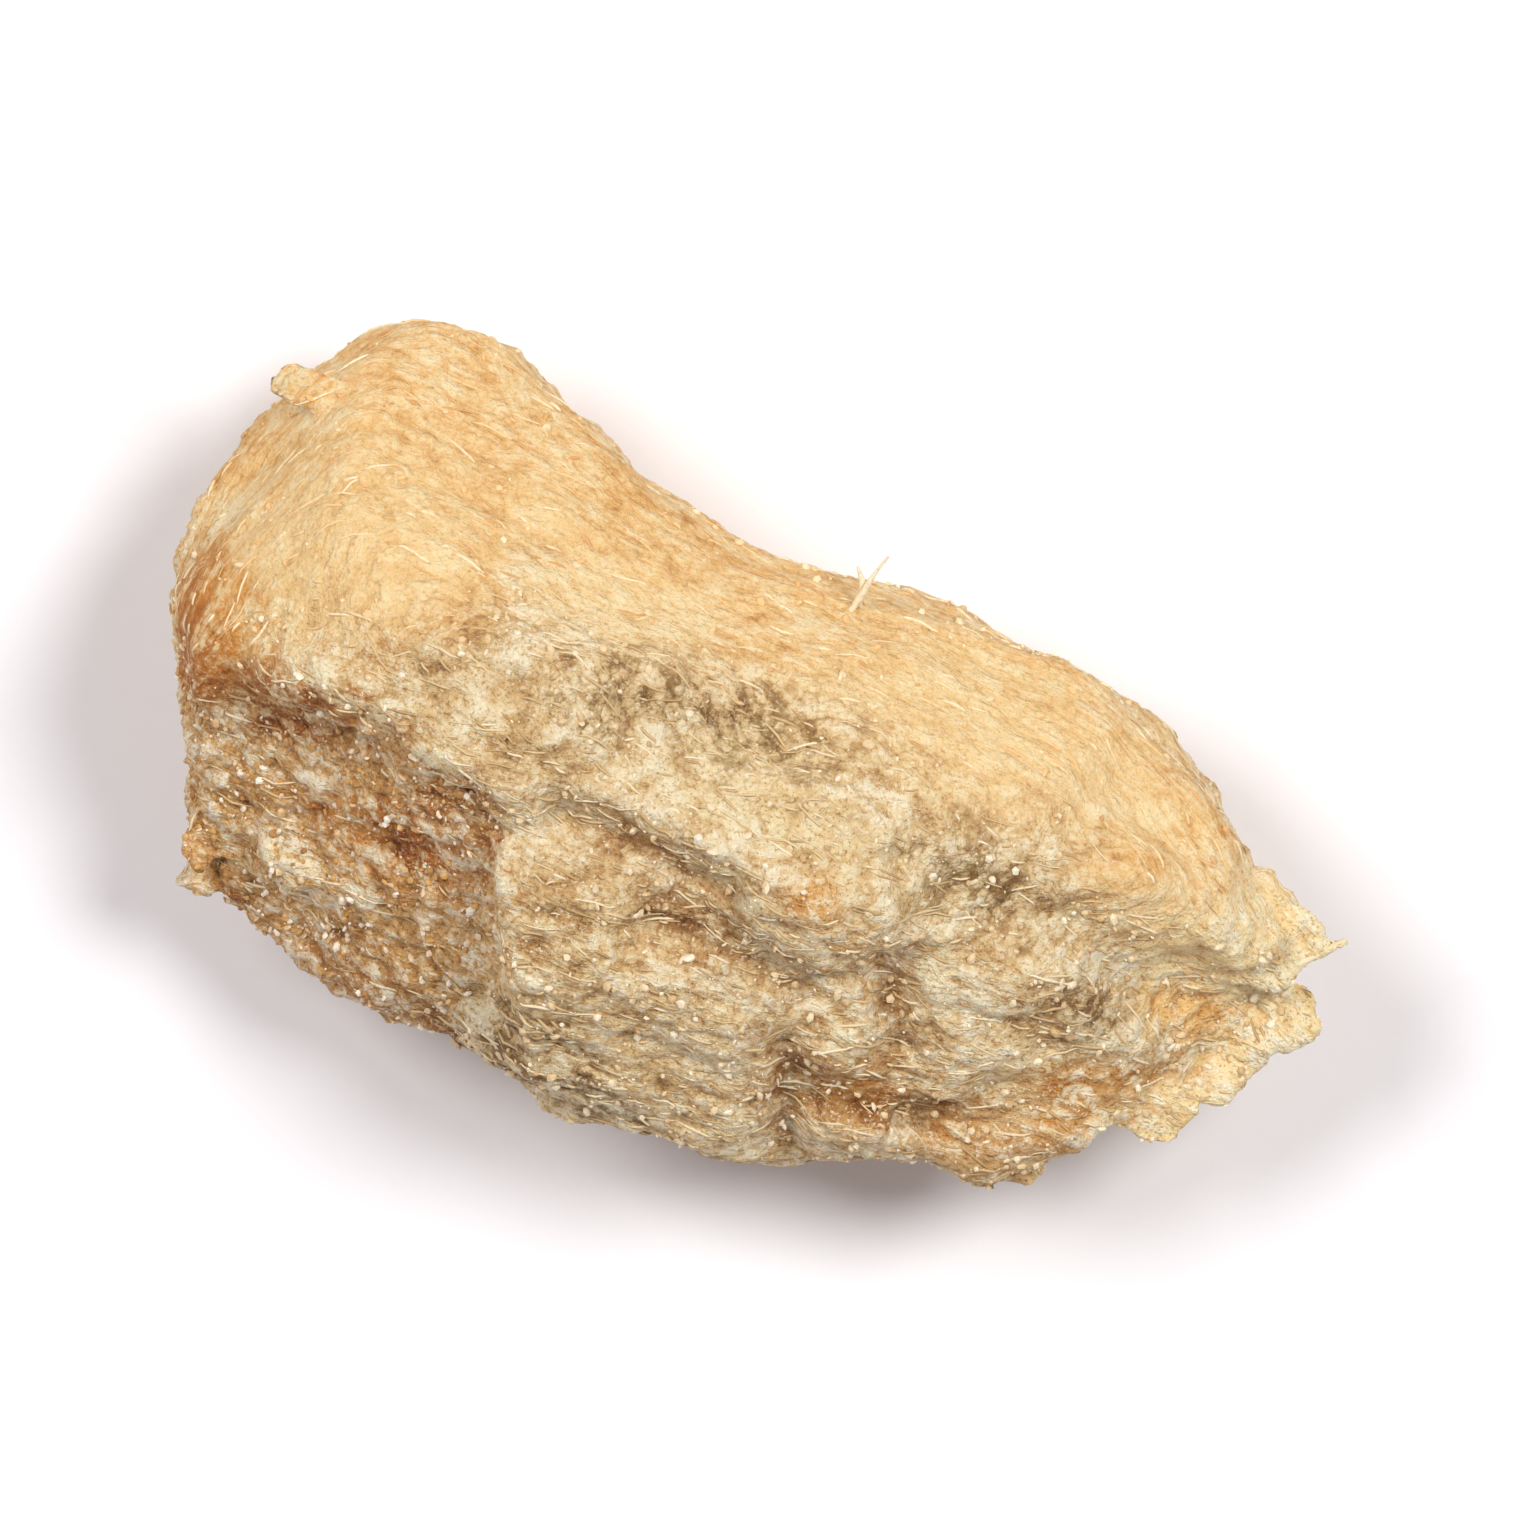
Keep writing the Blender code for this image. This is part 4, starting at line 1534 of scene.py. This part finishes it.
@dataclass
class LooseEnds:
    """The two fibres that stand clear of the chip: one on its upper edge, one at its tip.

    Each is split, so each has two paths, in mm. The tip share is a fibre's width at its tip over
    its width at its root.
    """

    name: str = "loose_ends"
    seed: int = 5
    paths: tuple[tuple[Triple, ...], ...] = (
        ((0.62, 0.90, 2.50), (0.82, 1.20, 2.60), (0.93, 1.38, 2.64), (1.04, 1.52, 2.66)),
        ((0.78, 1.10, 2.50), (0.84, 1.28, 2.56), (0.80, 1.44, 2.60)),
        ((3.70, -1.72, 2.05), (4.05, -1.64, 2.14), (4.30, -1.54, 2.19), (4.50, -1.42, 2.20)),
        ((3.90, -1.50, 2.05), (4.16, -1.46, 2.16), (4.36, -1.50, 2.18)),
    )
    sizes: dict[str, float] = field(default_factory=lambda: {"Radius": 0.045, "Tip Share": 0.22})
    rings: int = 14
    corners: int = 8
    knot_scale: float = 9.0
    knot_fade: Fade = (0.3, 0.7, 0.75, 1.25)
    tone: float = 0.85

    def radius(self, tree: Growth) -> Socket:
        """How thick the fibres are: tapered and a little knotty.

        Args:
            tree: The tree that the nodes go into.

        Returns:
            The radius at each point, in mm.
        """
        size = tree.inputs
        along = tree.add("GeometryNodeSplineParameter").outputs["Factor"]
        fall = tree.math("SUBTRACT", size["Tip Share"], 1.0)
        taper = tree.math("MULTIPLY_ADD", fall, along, 1.0)
        knots = tree.noise(tree.place(), self.knot_scale, detail=2.0)
        share = tree.math("MULTIPLY", taper, tree.remap(knots, *self.knot_fade))
        return tree.math("MULTIPLY", share, size["Radius"])

    def tree(self) -> Growth:
        """Builds the tree that turns the paths into tapered fibres.

        Returns:
            The tree.
        """
        tree = Growth(self.name, self.sizes)
        paths = tree.add("GeometryNodeMeshToCurve", {"Mesh": tree.inputs["Geometry"]}).outputs[0]
        smooth = tree.add("GeometryNodeCurveSplineType", {"Curve": paths}, spline_type="CATMULL_ROM")
        even = tree.add("GeometryNodeResampleCurve", {"Curve": smooth.outputs[0], "Count": self.rings})
        tube = tree.tube(even.outputs[0], self.radius(tree), self.corners)
        tree.close(tree.store(tube, TONE, self.tone))
        return tree

    def build(self, material: bpy.types.Material) -> bpy.types.Mesh:
        """Makes the fibres.

        Args:
            material: What they wear.

        Returns:
            All of them as one mesh, in mm.
        """
        lines = bmesh.new()
        for path in self.paths:
            verts = [lines.verts.new(np.array(point) + PLAN_OFFSET) for point in path]
            for start, end in zip(verts, verts[1:]):
                lines.edges.new((start, end))
        mesh = bpy.data.meshes.new("loose_end_paths")
        lines.to_mesh(mesh)
        lines.free()
        return self.tree().grow_on(mesh, self.name, self.seed, material)


@dataclass(frozen=True)
class Lamp:
    """A round soft lamp: its place and width in metres and its power in watts."""

    name: str
    place: Triple
    power: float
    width: float


@dataclass
class Studio:
    """The floor, the lights and the camera. Sizes in metres, the lens in millimetres."""

    floor_size: float = 1.2
    lamps: tuple[Lamp, ...] = (
        Lamp("key_lamp", (0.26, 0.14, 0.50), 2.1, 0.20),
        Lamp("side_lamp", (-0.25, 0.18, 0.50), 1.65, 0.22),
    )
    sky_colour: str = "E9E2EA"
    sky_strength: float = 0.36
    camera_place: Triple = (0.0194, 0.0308, 0.50)
    camera_clip: float = 0.01
    lens: float = 1560.0

    def lay_floor(self) -> None:
        """Lays a plain pale floor under the chip."""
        sheet = bmesh.new()
        bmesh.ops.create_grid(sheet, x_segments=4, y_segments=4, size=self.floor_size / 2)
        mesh = bpy.data.meshes.new("floor")
        sheet.to_mesh(mesh)
        sheet.free()
        mesh.materials.append(PaperFinish().material())
        floor = bpy.data.objects.new("floor", mesh)
        bpy.context.scene.collection.objects.link(floor)

    def aim(self, obj: bpy.types.Object, place: Triple, target: Vector) -> None:
        """Puts an object at a place, looking at a target with its top towards +Y.

        Args:
            obj: The camera or lamp.
            place: Where it goes.
            target: What it looks at.
        """
        back = (Vector(place) - target).normalized()
        right = Vector((0, 1, 0)).cross(back).normalized()
        turn = Matrix((right, back.cross(right), back)).transposed()
        obj.matrix_world = Matrix.Translation(place) @ turn.to_4x4()

    def hang(self, lamp: Lamp) -> None:
        """Hangs one lamp, aimed at the chip.

        Args:
            lamp: The lamp.
        """
        data = bpy.data.lights.new(lamp.name, "AREA")
        data.shape = "DISK"
        data.energy = lamp.power
        data.size = lamp.width
        light = bpy.data.objects.new(lamp.name, data)
        bpy.context.scene.collection.objects.link(light)
        self.aim(light, lamp.place, Vector((0, 0, 0)))

    def light(self) -> None:
        """Sets the lamps and the even light of the room."""
        for lamp in self.lamps:
            self.hang(lamp)
        world = bpy.data.worlds.new("pale_room")
        world.use_nodes = True
        background = world.node_tree.nodes["Background"]
        background.inputs["Color"].default_value = linear(self.sky_colour)
        background.inputs["Strength"].default_value = self.sky_strength
        bpy.context.scene.world = world
        bpy.context.scene.view_settings.view_transform = "Standard"

    def place_camera(self) -> None:
        """Sets the camera high over the chip, as in the photograph."""
        data = bpy.data.cameras.new("camera")
        data.lens = self.lens
        data.clip_start = self.camera_clip
        camera = bpy.data.objects.new("camera", data)
        bpy.context.scene.collection.objects.link(camera)
        low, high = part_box(NODE)
        middle = (low + high) / 2
        self.aim(camera, tuple(Vector(self.camera_place) + middle), middle)
        bpy.context.scene.camera = camera

    def build(self) -> None:
        """Builds the whole studio."""
        self.lay_floor()
        self.light()
        self.place_camera()


def corners(box: tuple[Vector, Vector]) -> list[list[float]]:
    """A box's two corners as plain lists of numbers."""
    return [[float(value) for value in corner] for corner in box]


def main() -> None:
    """Builds the chip's pieces and the studio in order."""
    logging.basicConfig(level=logging.INFO, format="%(name)s: %(message)s")
    surface = RootSurface().build()
    grains = StarchGrains().build(surface, GrainFinish().material())
    straw = FibreFinish().material()
    fibres = SurfaceFibres().build(surface, straw)
    ends = LooseEnds().build(straw)
    chip = set_down(surface, "ginger_chip_surface")
    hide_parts(NODE)
    set_down(grains, "starch_grains")
    set_down(fibres, "surface_fibres")
    set_down(ends, "loose_ends")
    Studio().build()


if __name__ == "__main__":
    main()
